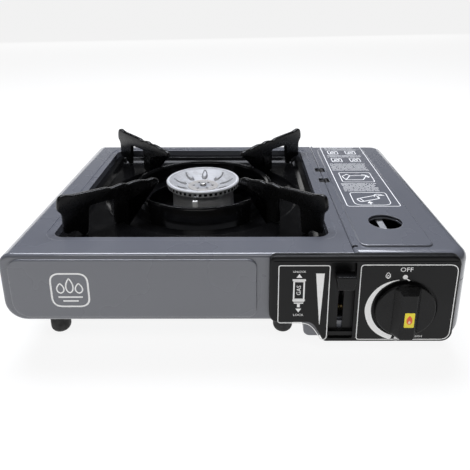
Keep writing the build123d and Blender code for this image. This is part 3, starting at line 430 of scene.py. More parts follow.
class StoveSizes(bpy.types.PropertyGroup):
    """Sizes of the pieces made here."""

    arm_width: FloatProperty(name="Arm thickness", description="Thickness of a pan support arm",
                             unit="LENGTH", default=4.2 * MM)
    arm_roll: FloatProperty(name="Arm edge", description="Rounding of an arm's edges", unit="LENGTH",
                            default=1.3 * MM)
    frame_line: FloatProperty(name="Panel line", description="Width of the lines printed on the panel",
                              unit="LENGTH", default=0.62 * MM)
    lid_line: FloatProperty(name="Lid line", description="Width of the lines printed on the lid",
                            unit="LENGTH", default=0.75 * MM)
    badge: FloatProperty(name="Badge", description="Height of the mark on the front", unit="LENGTH",
                         default=27 * MM)
    key: FloatProperty(name="Key light", description="Power of the overhead soft light", subtype="POWER",
                       default=21.5)
    front: FloatProperty(name="Front light", description="Power of the soft light in front", subtype="POWER",
                         default=0.5)
    fore: FloatProperty(name="Fore light", description="Power of the soft light above and before",
                        subtype="POWER", default=5.0)
    side: FloatProperty(name="Side light", description="Power of the soft light on the left", subtype="POWER",
                        default=0.8)
    glow: FloatProperty(name="Far glow", description="Power of the low band of light far behind",
                        subtype="POWER", default=10.0)
    floor_glow: FloatProperty(name="Floor glow", description="Light given off by the white floor",
                              default=0.88, min=0.0)


FINISHES = {}


def settings():
    """The user's colours and sizes."""
    scene = bpy.context.scene
    return scene.stove_colours, scene.stove_sizes


def case_paint():
    """Glossy blue-grey enamel: slow shade changes, faint orange peel, painted highlights along sharp edges.
    """
    colour = tuple(settings()[0].case)
    d = Drawing("case_paint", colour, 0.27, coat=0.8, coat_rough=0.04)
    cloud = d.noise(9, 3)
    speck = d.noise(2100, 2)
    shade = d.blend(cloud.fade(0.3, 0.7), tint(colour, 0.985), tint(colour, 1.02))
    shade = d.blend(speck.fade(0.64, 0.76) * 0.05, shade, tint(colour, 1.4))
    # painted highlight: sharp edges are lightened towards twice the paint's colour
    shade = d.blend(d.edges(0.9) * 0.55, shade, tint(colour, 2.1))
    d.give(Base_Color=shade, Roughness=d.noise(16, 3, 0.5).fade(0.3, 0.75, 0.25, 0.31),
           Normal=d.bump(d.noise(240, 2), 0.002, under=d.eased(0.8)))
    return d.finish


def black_enamel():
    """Fired black enamel: deep gloss, slight waves, pinholes and a trace of grey on edges, partly wear and
    partly painted highlight.
    """
    colour = tuple(settings()[0].enamel)
    d = Drawing("black_enamel", colour, 0.14, coat=0.08, coat_rough=0.10, shine=0.30)
    pits = d.cells(900)
    worn = d.edges(0.7)
    shade = d.blend(d.noise(40, 4).fade(0.35, 0.75), colour, tint(colour, 1.8))
    # grey on edges in patches, partly wear and partly painted highlight
    shade = d.blend(worn * d.noise(160, 3).fade(0.45, 0.7) * 0.4, shade, (0.035, 0.035, 0.037))
    height = d.noise(180, 2) + pits.fade(0.0, 0.10, -0.3, 0.0)
    d.give(Base_Color=shade, Roughness=d.noise(70, 4, 0.6).fade(0.3, 0.8, 0.10, 0.20),
           Normal=d.bump(height, 0.03, under=d.eased(0.7)))
    return d.finish


def arm_enamel():
    """The same enamel on the pressed arms, fired duller, with a rougher skin."""
    colour = tuple(settings()[0].enamel)
    d = Drawing("arm_enamel", colour, 0.3, shine=0.30)
    shade = d.blend(d.noise(90, 4).fade(0.4, 0.8), colour, tint(colour, 2.0))
    # grey on edges in patches, partly wear and partly painted highlight
    shade = d.blend(d.edges(0.6) * d.noise(120, 4).fade(0.4, 0.65) * 0.5, shade, (0.03, 0.03, 0.032))
    d.give(Base_Color=shade, Roughness=d.noise(150, 4).fade(0.3, 0.8, 0.22, 0.38),
           Normal=d.bump(d.noise(600, 3, 0.6), 0.035, under=d.eased(0.5)))
    return d.finish


def panel_plastic():
    """Satin black moulded plastic with a fine spark-eroded grain and painted highlights along its edges."""
    colour = tuple(settings()[0].plastic)
    d = Drawing("panel_plastic", colour, 0.40, shine=0.22)
    grain = d.cells(2100) + d.noise(900, 3)
    shade = d.blend(d.noise(25, 3).fade(0.3, 0.7), tint(colour, 0.88), tint(colour, 1.15))
    # painted highlight: edges are lightened towards five times the plastic's colour
    shade = d.blend(d.edges(0.5) * 0.6, shade, tint(colour, 5.0))
    d.give(Base_Color=shade, Roughness=d.noise(45, 4).fade(0.3, 0.75, 0.30, 0.42),
           Normal=d.bump(grain, 0.012, under=d.eased(0.4)))
    return d.finish


def knob_plastic():
    """Heat-resistant plastic, smoother than the panel, with painted highlights along its edges."""
    colour = tuple(settings()[0].plastic)
    d = Drawing("knob_plastic", colour, 0.3, shine=0.22)
    shade = d.blend(d.noise(60, 3).fade(0.35, 0.7), tint(colour, 0.7), tint(colour, 1.1))
    # painted highlight: edges are lightened towards seven times the plastic's colour
    shade = d.blend(d.edges(0.4) * 0.7, shade, tint(colour, 7.0))
    d.give(Base_Color=shade, Roughness=d.noise(120, 4, 0.6).fade(0.3, 0.75, 0.22, 0.36),
           Normal=d.bump(d.noise(1500, 2), 0.010, under=d.eased(0.4)))
    return d.finish


def blackened_steel():
    """Steel wire and clips with a black oxide coat that is rubbed grey in places."""
    d = Drawing("blackened_steel", (0.012, 0.012, 0.013), 0.35, shine=0.35)
    rub = d.edges(0.4) * d.noise(300, 3).fade(0.4, 0.65)
    d.give(Base_Color=d.blend(rub, (0.010, 0.010, 0.011), (0.09, 0.09, 0.09)),
           Roughness=d.noise(200, 3).fade(0.3, 0.7, 0.28, 0.45), Normal=d.bump(d.noise(1500, 2), 0.01))
    return d.finish


def zinc_sheet():
    """Zinc-coated sheet: large pale flakes, each with its own tone and shine, and rolling lines."""
    d = Drawing("zinc_sheet", (0.58, 0.59, 0.60), 0.38, metal=0.7)
    flake = d.cells(130, out="Color")
    _, _, tone = d.axes(flake.socket)
    lines = d.noise(900, 2, 0.5, d.place(stretch=(1, 30, 30)))
    shade = d.blend(tone, (0.40, 0.41, 0.42), (0.66, 0.67, 0.68))
    shade = d.blend(d.noise(30, 4).fade(0.55, 0.8) * 0.4, shade, (0.34, 0.33, 0.31))
    d.give(Base_Color=shade, Roughness=(tone * 0.22 + lines * 0.1 + 0.22),
           Normal=d.bump(lines + tone, 0.01, under=d.eased(0.3)))
    return d.finish


def screw_steel():
    """Plated screw steel with turning marks and a little dull film."""
    d = Drawing("screw_steel", (0.46, 0.46, 0.45), 0.3, metal=1.0)
    film = d.noise(240, 4)
    d.give(Base_Color=d.blend(film.fade(0.4, 0.7), (0.36, 0.35, 0.33), (0.58, 0.58, 0.57)),
           Roughness=film.fade(0.3, 0.7, 0.22, 0.42),
           Normal=d.bump(d.noise(2500, 2), 0.01, under=d.eased(0.3)))
    return d.finish


def cast_alloy():
    """Die-cast alloy: dull grey skin with fine grain and flow marks."""
    d = Drawing("cast_alloy", (0.42, 0.42, 0.43), 0.48, metal=1.0)
    flow = d.noise(60, 5, 0.65)
    x, y, z = d.axes(d.place(tuple(BURNER)))
    drawn = d.noise(1, 2, 0.5, d.vector(x.turn_from(y) * 2.0, z * 900, 0.0))
    shade = d.blend(flow.fade(0.35, 0.7), (0.30, 0.30, 0.305), (0.50, 0.50, 0.51))
    d.give(Base_Color=d.blend(drawn.fade(0.3, 0.7) * 0.5, shade, (0.58, 0.58, 0.59)),
           Roughness=flow.fade(0.3, 0.7, 0.38, 0.55),
           Normal=d.bump(d.noise(1100, 3) + drawn, 0.03, under=d.eased(0.5)))
    return d.finish


def burner_cast():
    """Machined casting of the burner: grey, with turning lines and a film of heat."""
    d = Drawing("burner_cast", (0.44, 0.44, 0.445), 0.45, metal=0.35)
    reach, bearing = d.polar(tuple(BURNER))
    _, _, height = d.axes(d.here)
    turned = d.noise(1, 2, 0.5, d.vector(bearing * 1.5, height * 1800, reach * 1800))
    film = d.noise(70, 4, 0.6)
    shade = d.blend(film.fade(0.35, 0.7), (0.34, 0.34, 0.342), (0.52, 0.52, 0.525))
    d.give(Base_Color=d.blend(turned.fade(0.3, 0.7) * 0.4, shade, (0.66, 0.66, 0.665)),
           Roughness=film.fade(0.3, 0.7, 0.36, 0.52), Normal=d.bump(turned, 0.015, under=d.eased(0.4)))
    return d.finish


def bright_aluminium(name="bright_aluminium", tone=1.15, dull=0.0):
    """Spun aluminium: fine rings round the burner's axis, dull spots of heat, and painted shade inside the
    ring, underneath and in the grooves round the teardrops.
    """
    d = Drawing(name, tint((0.56, 0.57, 0.58), tone), 0.40, metal=0.30)
    reach, bearing = d.polar(tuple(BURNER))
    _, _, height = d.axes(d.here)
    _, _, upward = d.axes(d.node("ShaderNodeNewGeometry").outputs["True Normal"])
    rings = d.noise(1, 3, 0.6, d.vector(reach * 2600, bearing * 1.3, 0.0))
    spots = d.noise(170, 4, 0.6)
    shade = d.blend(rings.fade(0.3, 0.7), tint((0.47, 0.48, 0.49), tone), tint((0.64, 0.64, 0.65), tone))
    shade = d.blend(spots.fade(0.52, 0.72) * 0.45, shade, tint((0.33, 0.32, 0.30), tone))
    skin, top, soft = SLOT_SKIN * MM, SLOT_TOP * MM, PAINTED_SHADE_EDGE * MM
    # painted shade: the ring's inner faces and slot walls, deeper than its outer skin and below its top, are
    # painted near black
    inside = reach.fade(skin + soft, skin) * height.fade(top, top - soft)
    inside = inside * reach.fade(0.0290, 0.0294)
    # painted shade: faces that turn downward, outside the cone's rim, are painted near black
    under = upward.fade(0.0, -0.1)
    # painted shade in the grooves round the teardrops: 1 - cos(n t) is n^2 t^2 / 2 near a teardrop's middle
    width = (reach - 0.018) * -0.1 + 0.0027
    across = reach / width
    along = (reach - TEAR_MIDDLE * MM) / (TEAR_HALF * MM)
    lobe = 1.0 - (bearing * TEARS + (math.pi / 2 - TEARS * TEAR_TURN)).wave()
    q = lobe * (2.0 / TEARS**2) * across * across + along * along
    groove = q.fade(0.85, 1.2) * q.fade(1.7, 1.35)
    shade = d.blend(groove * 0.75, shade, (0.07, 0.07, 0.075))
    shade = d.blend(inside, shade, (0.006, 0.006, 0.006))
    shade = d.blend(under * reach.fade(0.0325, 0.0322), shade, (0.006, 0.006, 0.006))
    d.give(Base_Color=shade, Roughness=rings.fade(0.3, 0.7, 0.36, 0.50) + spots * 0.08 + dull,
           Normal=d.bump(rings, 0.012, under=d.eased(0.3)))
    return d.finish


def dark_steel():
    """Burner disc: heat-tinted steel, bluish in the middle and brown outside, with ring marks."""
    d = Drawing("dark_steel", (0.40, 0.40, 0.42), 0.42, metal=0.6)
    reach, bearing = d.polar(tuple(BURNER))
    rings = d.noise(1, 2, 0.5, d.vector(reach * 2400, bearing, 0.0))
    heat = reach + d.noise(120, 4) * 0.006
    shade = d.blend(heat.fade(0.004, 0.018), (0.34, 0.36, 0.40), (0.50, 0.47, 0.43))
    d.give(Base_Color=d.blend(rings * 0.4, shade, (0.58, 0.58, 0.58)),
           Roughness=rings.fade(0.3, 0.7, 0.34, 0.52), Normal=d.bump(rings, 0.012, under=d.eased(0.3)))
    return d.finish


def brass():
    """Turned brass with brown tarnish in patches."""
    d = Drawing("brass", (0.72, 0.53, 0.24), 0.28, metal=1.0)
    age = d.noise(120, 5, 0.6)
    d.give(Base_Color=d.blend(age.fade(0.42, 0.72), (0.74, 0.55, 0.25), (0.40, 0.26, 0.11)),
           Roughness=age.fade(0.3, 0.75, 0.2, 0.45),
           Normal=d.bump(d.noise(2600, 2), 0.01, under=d.eased(0.3)))
    return d.finish


def foot_rubber():
    """Matt rubber, dusty low down, with a fine pitted skin."""
    d = Drawing("foot_rubber", (0.016, 0.016, 0.016), 0.7)
    _, _, height = d.axes(d.here)
    dust = height.fade(0.012, 0.0) * d.noise(420, 4).fade(0.4, 0.7)
    d.give(Base_Color=d.blend(dust * 0.5, (0.014, 0.014, 0.014), (0.075, 0.072, 0.068)),
           Roughness=d.noise(200, 3).fade(0.3, 0.7, 0.58, 0.82),
           Normal=d.bump(d.noise(1800, 3), 0.06, under=d.eased(0.6)))
    return d.finish


def white_ceramic():
    """Glazed insulator: warm white, with brown scorch at its tip and hairlines in the glaze."""
    d = Drawing("white_ceramic", (0.95, 0.95, 0.93), 0.16, coat=0.5)
    _, _, height = d.axes(d.here)
    tip = box_mm("electrode")[1][2] * MM
    scorch = (height + d.noise(500, 3) * 0.006).fade(tip + 0.001, tip + 0.008)
    hair = d.cells(420, "DISTANCE_TO_EDGE").fade(0.0, 0.02, 0.35, 0.0)
    shade = d.blend(hair * 0.4, (0.95, 0.95, 0.93), (0.70, 0.68, 0.62))
    d.give(Base_Color=d.blend(scorch * 0.4, shade, (0.30, 0.24, 0.18)),
           Roughness=d.noise(200).fade(0.3, 0.7, 0.12, 0.24), Normal=d.bump(d.noise(700, 2), 0.02))
    return d.finish


def igniter_plastic():
    """Dark grey moulded plastic of the spark unit."""
    d = Drawing("igniter_plastic", (0.07, 0.07, 0.075), 0.45)
    d.give(Base_Color=d.blend(d.noise(90, 3), (0.055, 0.055, 0.06), (0.085, 0.085, 0.09)),
           Roughness=d.noise(300, 3).fade(0.3, 0.7, 0.38, 0.55),
           Normal=d.bump(d.cells(1800), 0.02, under=d.eased(0.4)))
    return d.finish


def print_ink(name, worn, shine):
    """Screen ink: thin, slightly uneven, worn in small patches where hands rub."""
    colour = tuple(settings()[0].ink)
    d = Drawing(name, colour, shine)
    thin = d.noise(520, 4, 0.7)
    d.give(Base_Color=d.blend(thin.fade(0.60 - worn, 0.86 - worn), colour, tint(colour, 0.55)),
           Roughness=thin.fade(0.3, 0.8, shine - 0.06, shine + 0.1), Normal=d.bump(d.noise(1600, 2), 0.015))
    return d.finish


def sticker_vinyl(name, colour, second):
    """Printed vinyl: a soft change of shade, tiny print dots and a light gloss."""
    d = Drawing(name, colour, 0.32, coat=0.2, coat_rough=0.15)
    _, _, height = d.axes(d.here)
    rise = height.fade(DIAL[2] * MM - 0.010, DIAL[2] * MM + 0.002)
    shade = d.blend(rise, second, colour)
    dots = d.cells(3000).fade(0.3, 0.1, 0.0, 0.12)
    d.give(Base_Color=d.blend(dots, shade, tint(colour, 0.8)),
           Roughness=d.noise(400, 3).fade(0.3, 0.7, 0.26, 0.42), Normal=d.bump(d.noise(900, 2), 0.02))
    return d.finish


# ---- which finish each CAD node wears ----
NODE_FINISH = {
    "case_paint": ("upper_shell", "base_pan", "lid_shell"),
    "black_enamel": ("drip_tray", "tray_collar"),
    "arm_enamel": ("support_arm_1", "support_arm_2", "support_arm_3", "support_arm_4"),
    "panel_plastic": ("control_fascia",),
    "knob_plastic": ("knob_dial", "knob_grip", "lever_handle"),
    "blackened_steel": ("hinge_hooks", "hinge_pin"),
    "zinc_sheet": ("heat_shield", "can_guide", "can_cradle", "can_carriage",
                   "lever_bracket", "lever_pin", "lever_arm", "igniter_bracket", "burner_bracket",
                   "electrode_bracket", "mixing_tube", "spark_tip", "valve_spindle"),
    "screw_steel": ("fascia_screws", "regulator_screws", "bracket_rivets", "burner_screw"),
    "cast_alloy": ("regulator_body",),
    "burner_cast": ("burner_base",),
    "bright_aluminium": ("burner_ring", "burner_cone"),
    "dark_steel": ("burner_disc",),
    "brass": ("inlet_nozzle", "jet_nozzle", "regulator_cap", "gas_pipe"),
    "foot_rubber": ("foot_front_left", "foot_front_right", "foot_back_left", "foot_back_right", "inlet_seal",
                    "ignition_lead"),
    "white_ceramic": ("electrode",),
    "igniter_plastic": ("piezo_igniter", "igniter_plunger"),
}
MAKERS = {maker.__name__: maker for maker in (
    case_paint, black_enamel, arm_enamel, panel_plastic, knob_plastic, blackened_steel, zinc_sheet,
    screw_steel, cast_alloy, burner_cast, bright_aluminium, dark_steel, brass, foot_rubber, white_ceramic,
    igniter_plastic)}


class STOVE_OT_finishes(bpy.types.Operator):
    """Gives every CAD node its procedural finish"""

    bl_idname = "stove.finishes"
    bl_label = "Finish the frame"

    def execute(self, context):
        for name, nodes in NODE_FINISH.items():
            FINISHES[name] = MAKERS[name]()
            for node in nodes:
                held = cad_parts[node]
                if not held.material_slots:
                    held.data.materials.append(FINISHES[name])
                for slot in held.material_slots:
                    slot.material = FINISHES[name]
        FINISHES["panel_ink"] = print_ink("panel_ink", 0.0, 0.45)
        FINISHES["lid_ink"] = print_ink("lid_ink", 0.06, 0.4)
        return {"FINISHED"}


# ======== Pan support arms ========
ARM_BEARINGS = (225.0, 315.0, 45.0, 135.0)
ARM_TOP = ((52.5, 102.6), (57, 105.2), (64, 104.8), (71, 106.5), (78, 107.4), (83.5, 106.6),
           (90, 108.6), (100, 107.2), (104, 108.8), (119, 109.9), (134, 110.8), (138.5, 112),
           (142, 112.9), (145.5, 111.6), (147, 107.8), (147.8, 101.4), (143.9, 97), (143.9, 80))
ARM_UNDER = ((133.7, 80), (129, 74.3), (124, 74.3), (121.2, 97.3), (98.4, 97.3), (98.5, 74.3),
             (91.4, 74.3), (87.3, 68.4), (84.7, 68.4), (84.2, 91.3), (60, 95.8), (52.6, 98.6))


def arm_surface(shape, bearing, thickness, roll):
    """One arm: its side outline carried across its thickness, drawn in towards both faces by
    roll * (1 - cos a) as the edge turns through the angle a, so that the edges are round."""
    outline = rounded(ARM_TOP + ARM_UNDER, 2.6, 5)
    across = sideways(outline, True)
    a = np.linspace(-math.pi / 2, math.pi / 2, 9)
    inset = roll * (1 - np.cos(a))
    level = np.where(a < 0, -1, 1) * (thickness / 2 - roll) + roll * np.sin(a)
    level[len(a) // 2] = 0.0
    side = outline[None] + across[None] * -inset[:, None, None]
    t = math.radians(bearing)
    along, aside = np.array([math.cos(t), math.sin(t), 0]), np.array([-math.sin(t), math.cos(t), 0])
    points = (np.array([BURNER[0], BURNER[1], 0]) + side[:, :, :1] * along
              + side[:, :, 1:] * np.array([0, 0, 1.0]) + level[:, None, None] * aside)
    shape.grid(points, wrap_v=True, caps=True)


class STOVE_OT_arms(bpy.types.Operator):
    """Makes the four pan support arms with wavy edges and rounded rims"""

    bl_idname = "stove.arms"
    bl_label = "Pan support arms"

    def execute(self, context):
        sizes = settings()[1]
        for number, bearing in enumerate(ARM_BEARINGS, start=1):
            shape = Shape()
            arm_surface(shape, bearing, sizes.arm_width / MM, sizes.arm_roll / MM)
            made = shape.piece(f"pan_arm_{number}", "pan_support", FINISHES["arm_enamel"], "black_enamel", 50)
            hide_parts(f"support_arm_{number}")
        return {"FINISHED"}


# ======== Burner ========
def cone_height(reach, bearing):
    """Height of the burner cone: a dished slope from the disc to the rim, with a raised teardrop at each
    ninth of the turn. Let q = sqrt((across / width)^2 + ((reach - 23) / 5.2)^2): inside q = 1 the
    tab stands 1.3 mm proud, and round q = 1.12 a pressed groove 0.9 mm deep runs round it."""
    slope = np.interp(reach, [CONE_INNER, 14.5, 24.0, 30.4, 31.2, CONE_OUTER],
                      [81.6, 81.8, 84.6, 88.0, 88.6, 88.6])
    spacing = 2 * math.pi / TEARS
    across = ((bearing - TEAR_TURN + spacing / 2) % spacing - spacing / 2) * reach
    width = np.interp(reach, [18, 28], [2.7, 1.7])
    q = np.sqrt((across / width) ** 2 + ((reach - TEAR_MIDDLE) / TEAR_HALF) ** 2)
    tab = 1.3 / (1 + np.exp((q - 0.84) * 22))
    groove = 0.9 * np.exp(-((q - 1.12) / 0.13) ** 2)
    return slope + tab - groove


class STOVE_OT_burner(bpy.types.Operator):
    """Makes the burner head's pressed cone"""

    bl_idname = "stove.burner"
    bl_label = "Burner head"

    def execute(self, context):
        reach = np.linspace(CONE_INNER, CONE_OUTER, 90)[:, None]
        bearing = np.linspace(0, 2 * math.pi, 540, endpoint=False)[None]
        top = cone_height(reach, bearing)
        x = BURNER[0] + reach * np.cos(bearing)
        y = BURNER[1] + reach * np.sin(bearing)
        upper = np.stack([x, y, top], axis=-1)
        lower = np.stack([x, y, top - CONE_SHEET], axis=-1)
        shape = Shape()
        shape.grid(np.concatenate([upper, lower[::-1]]), wrap_u=True, wrap_v=True)
        cone_finish = bright_aluminium("cone_aluminium", 0.72, 0.12)
        made = shape.piece("pressed_cone", "chassis", cone_finish, "bright_aluminium", 60)
        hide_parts("burner_cone")
        return {"FINISHED"}


# ======== Print on the control panel ========
def panel_frames(fascia, width):
    """The two outlines on the panel: the left one drops to a point beside the lever."""
    fascia.line(rounded(((31.4, 78.4), (67.4, 78.4), (67.4, 18.6), (65.6, 16.6), (63.2, 17.2), (56.5, 28.5),
                         (50.5, 31.3), (31.4, 31.3)), (1.6, 1.6, 1.6, 2, 2, 8, 7, 2)), width)
    fascia.line(rounded(((89.3, 78.9), (157.6, 78.9), (157.6, 17.0), (89.3, 17.0)), (2.6, 6, 7, 2.2), 8),
                width)


class STOVE_OT_panel_print(bpy.types.Operator):
    """Prints the control panel: frames, cartridge sign, lever scale, dial scale and plain words"""

    bl_idname = "stove.panel_print"
    bl_label = "Panel print"

    def execute(self, context):
        line = settings()[1].frame_line / MM
        fascia = Print(upright_page(FASCIA_FACE))
        panel_frames(fascia, line)
        # lock scale: a long wedge
        fascia.slab(((57.7, 72.2), (63.8, 72.2), (61.9, 29.9), (61.6, 29.9)))
        # cartridge sign
        can = 46.0
        fascia.line(((can - 3.6, 65.8), (can + 3.6, 65.8), (can + 3.6, 51.2), (can - 3.6, 51.2)), 1.1)
        fascia.slab(((can - 4.7, 66.0), (can + 4.7, 66.0), (can + 4.7, 67.6), (can - 4.7, 67.6)))
        fascia.slab(((can - 4.7, 50.9), (can + 4.7, 50.9), (can + 3.9, 49.2), (can - 3.9, 49.2)))
        fascia.slab(((can - 3.2, 47.6), (can + 3.2, 47.6), (can + 3.6, 48.5), (can - 3.6, 48.5)))
        fascia.slab(((can - 1.0, 44.6), (can + 1.0, 44.6), (can + 1.0, 47.3), (can - 1.0, 47.3)))
        fascia.slab(((can - 2.1, 68.8), (can + 2.1, 68.8), (can, 71.8)))
        fascia.slab(((can - 2.1, 43.4), (can + 2.1, 43.4), (can, 40.2)))
        fascia.letters("GAS", (can, 58.5), 3.0, math.pi / 2, 1.0)
        fascia.letters("UNLOCK", (can, 73.5), 1.55, 0.0, 1.0)
        fascia.letters("LOCK", (can, 38.0), 1.7, 0.0, 1.15)
        # dial scale
        middle = (DIAL[0], DIAL[2])
        fascia.band(arc(middle, (24.5, 24.6, 24.5, 24.2, 23.6), 104, 252, 60),
                    arc(middle, (24.8, 27.3, 28.9, 28.6, 27.4), 104, 252, 60))
        fascia.band(arc(middle, 24.0, 257, 263, 8), arc(middle, 27.2, 257, 263, 8))
        fascia.slab(arc((120.8, 69.2), 1.75, 0, 345, 24))
        fascia.line(((121.9, 68.0), (123.2, 66.9), (124.3, 66.4)), 0.9, closed=False)
        fascia.letters("OFF", (121.4, 75.0), 3.3, 0.0, 1.12)
        fascia.line(drop((108.7, 70.5), 3.0, 4.6), 0.45)
        fascia.line(drop((108.7, 69.7), 1.4, 2.2), 0.35)
        fascia.letters("HIGH", (134.5, 19.6), 1.7, 0.0, 1.15)
        fascia.shape.piece("panel_marks", "chassis", FINISHES["panel_ink"], None, 30)
        return {"FINISHED"}


# ======== Print on the lid ========
def bars(sheet, left, right, near, far, rows, seed):
    """Plain bars in place of text: rows of dashes whose ends are drawn at random from a fixed seed."""
    chance = np.random.default_rng(seed)
    for level in np.linspace(near, far, rows):
        cuts = np.sort(chance.uniform(left, right, 5))
        ends = np.concatenate([[left], cuts, [right - chance.uniform(0, (right - left) * 0.12)]])
        for start, end in zip(ends[:-1], ends[1:]):
            if end - start > 1.4:
                sheet.line(((start, level), (end - 0.7, level)), 0.7, closed=False)


class STOVE_OT_lid_print(bpy.types.Operator):
    """Prints the lid: a frame, two plain pictures and bars that stand for lines of text"""

    bl_idname = "stove.lid_print"
    bl_label = "Lid print"

    def execute(self, context):
        line = settings()[1].lid_line / MM
        sheet = Print(lid_page)
        near, far = FRONT + 81.8, FRONT + 264.5
        sheet.line(rounded(((96.0, near), (142.0, near), (143.6, far), (97.0, far)), (3, 3, 2, 2)), line)
        # picture of a cartridge being laid in
        low, high = FRONT + 84.5, FRONT + 113.5
        sheet.line(rounded(((103.2, low), (135.0, low), (136.4, high), (103.6, high)), (7, 7, 4, 4)), line)
        sheet.line(rounded(((109.5, low + 7), (128.5, low + 15), (126.2, low + 22.5), (107.2, low + 14)),
                           2.2), 1.0)
        sheet.line(((112.5, low + 8.5), (110.4, low + 15.2)), 0.85, closed=False)
        sheet.line(arc((128.5, low + 20.5), 4.2, 200, 30, 12), 1.0, closed=False)
        sheet.line(arc((131.5, low + 17.5), 4.6, 210, 60, 12), 1.0, closed=False)
        sheet.slab(((114.6, low + 4.2), (120.0, low + 4.2), (117.3, low + 8.4)))
        sheet.line(((117.3, low + 1.8), (117.3, low + 4.4)), 1.2, closed=False)
        bars(sheet, 100.0, 135.0, FRONT + 117.5, FRONT + 136.5, 8, 3)
        # picture of the lid being opened
        low, high = FRONT + 141.0, FRONT + 168.0
        sheet.line(rounded(((102.8, low), (134.0, low), (134.6, high), (103.2, high)), 2.5), line)
        sheet.line(rounded(((107, low + 6), (124, low + 6), (129.5, low + 18), (113, low + 18)), 1.5), 1.0)
        sheet.line(((107, low + 6), (104.9, low + 16), (110.6, low + 22), (113, low + 18)), 0.85,
                   closed=False)
        sheet.line(arc((124, low + 15), 6.5, 80, 5, 12), 1.0, closed=False)
        sheet.slab(((128.4, low + 15.4), (132.4, low + 15.4), (130.6, low + 11.6)))
        bars(sheet, 98.5, 137.5, FRONT + 175.5, FRONT + 196.0, 8, 8)
        # four small plain signs
        for column in (108.5, 128.5):
            for row in (FRONT + 209, FRONT + 236):
                sheet.line(rounded(((column - 5.4, row - 6), (column + 5.4, row - 6), (column + 5.4, row + 6),
                                    (column - 5.4, row + 6)), 1.4), 0.85)
                sheet.line(drop((column, row), 4.6, 7.6), 0.9)
                sheet.line(((column - 4.2, row - 4.6), (column + 4.2, row + 4.6)), 1.0, closed=False)
        bars(sheet, 100.5, 139.0, FRONT + 219.5, FRONT + 225.5, 3, 5)
        bars(sheet, 101.0, 140.0, FRONT + 246.0, FRONT + 259.5, 5, 12)
        sheet.shape.piece("lid_marks", "lid", FINISHES["lid_ink"], None, 30)
        return {"FINISHED"}


# ======== Badge on the front ========
class STOVE_OT_badge(bpy.types.Operator):
    """Prints a plain mark on the front wall: three drops over two bars in a soft square"""

    bl_idname = "stove.badge"
    bl_label = "Front mark"

    def execute(self, context):
        size = settings()[1].badge / MM
        middle = (-119.4, 56.0)
        half = size / 2
        mark = Print(upright_page(FIELD_FACE))
        corners = [(middle[0] + a * half, middle[1] + b * half)
                   for a, b in ((-1, -1), (1, -1), (1, 1), (-1, 1))]
        mark.line(rounded(corners, half * 0.55, 10), 1.3)
        for step, tall in ((-1, 0.34), (0, 0.5), (1, 0.34)):
            mark.line(drop((middle[0] + step * half * 0.5, middle[1] + half * (tall - 0.22)), half * 0.36,
                           half * tall * 1.7), 1.0)
        for level, reach in ((-0.42, 0.66), (-0.66, 0.42)):
            mark.line(((middle[0] - half * reach, middle[1] + half * level),
                       (middle[0] + half * reach, middle[1] + half * level)), 1.2, closed=False)
        mark.shape.piece("front_mark", "chassis", FINISHES["panel_ink"], None, 30)
        return {"FINISHED"}


# ======== Knob marks ========
class STOVE_OT_knob_marks(bpy.types.Operator):
    """Puts the small flame sticker on the knob"""

    bl_idname = "stove.knob_marks"
    bl_label = "Knob marks"

    def execute(self, context):
        colours = settings()[0]
        left, right, low, high = DIAL[0] - 2.6, DIAL[0] + 4.5, DIAL[2] - 9.4, DIAL[2] + 2.6
        sticker = Print(upright_page(GRIP_FACE))
        sticker.slab(rounded(((left, low), (right, low), (right, high), (left, high)), 0.8), 0.07)
        yellow = sticker_vinyl("sticker_yellow", tuple(colours.sticker), tint(colours.sticker, 0.93))
        sticker.shape.piece("knob_sticker", "knob", yellow, None, 30)
        middle = ((left + right) / 2, (low + high) / 2)
        flame = Print(upright_page(GRIP_FACE))
        flame.slab(drop((middle[0], middle[1] + 0.2), 4.0, 7.4), 0.11)
        red = sticker_vinyl("sticker_flame", tuple(colours.flame), (0.85, 0.20, 0.01))
        flame.shape.piece("knob_flame", "knob", red, None, 30)
        core = Print(upright_page(GRIP_FACE))
        core.slab(drop((middle[0], middle[1] - 1.4), 1.5, 2.6), 0.14)
        pale = sticker_vinyl("sticker_core", (0.9, 0.55, 0.30), (0.92, 0.75, 0.55))
        core.shape.piece("knob_flame_core", "knob", pale, None, 30)
        return {"FINISHED"}


# ======== Stage ========
# The camera stands so far behind the front wall's plane, in millimetres, and is aimed by these angles.
CAMERA_X, CAMERA_BACK, CAMERA_Z = 7.27, 322.66, 260.66
CAMERA_PITCH, CAMERA_YAW, CAMERA_ROLL = 0.31771, -0.00417, -0.00332
CAMERA_FOCUS = 509.975        # focal length in parts of 1/470 of the picture's width
CAMERA_SHIFT = (-0.01566, -0.15958)
PICTURE = 470.0
SENSOR = 36.0
FLOOR_REACH = 60000.0         # half the floor's side in millimetres
FLOOR_RUNGS = np.linspace(-1, 1, 25)
FLOOR_DROP = 0.02             # how far the floor lies under the feet
AIR_GLOW = 0.03               # light from every side
WHITE = (1.0, 1.0, 1.0)


def aim(pitch, yaw, roll):
    """Camera axes: it looks down by pitch, right by yaw, and leans by roll."""
    ahead = np.array([math.sin(yaw) * math.cos(pitch), math.cos(yaw) * math.cos(pitch), -math.sin(pitch)])
    right = np.array([math.cos(yaw), -math.sin(yaw), 0.0])
    up = np.cross(right, ahead)
    leant_right = right * math.cos(roll) + up * math.sin(roll)
    leant_up = up * math.cos(roll) - right * math.sin(roll)
    return np.stack([leant_right, leant_up, -ahead], axis=1)


def soft_light(name, place, target, size, power, colour):
    """A rectangular soft light that faces a point and is not seen itself; places in metres."""
    lamp = bpy.data.lights.new(name, "AREA")
    lamp.shape = "RECTANGLE"
    lamp.size, lamp.size_y = size
    lamp.energy = power
    lamp.color = colour
    made = bpy.data.objects.new(name, lamp)
    bpy.context.scene.collection.objects.link(made)
    made.location = place
    made.visible_camera = False
    made.rotation_euler = (Vector(target) - Vector(place)).to_track_quat("-Z", "Y").to_euler()


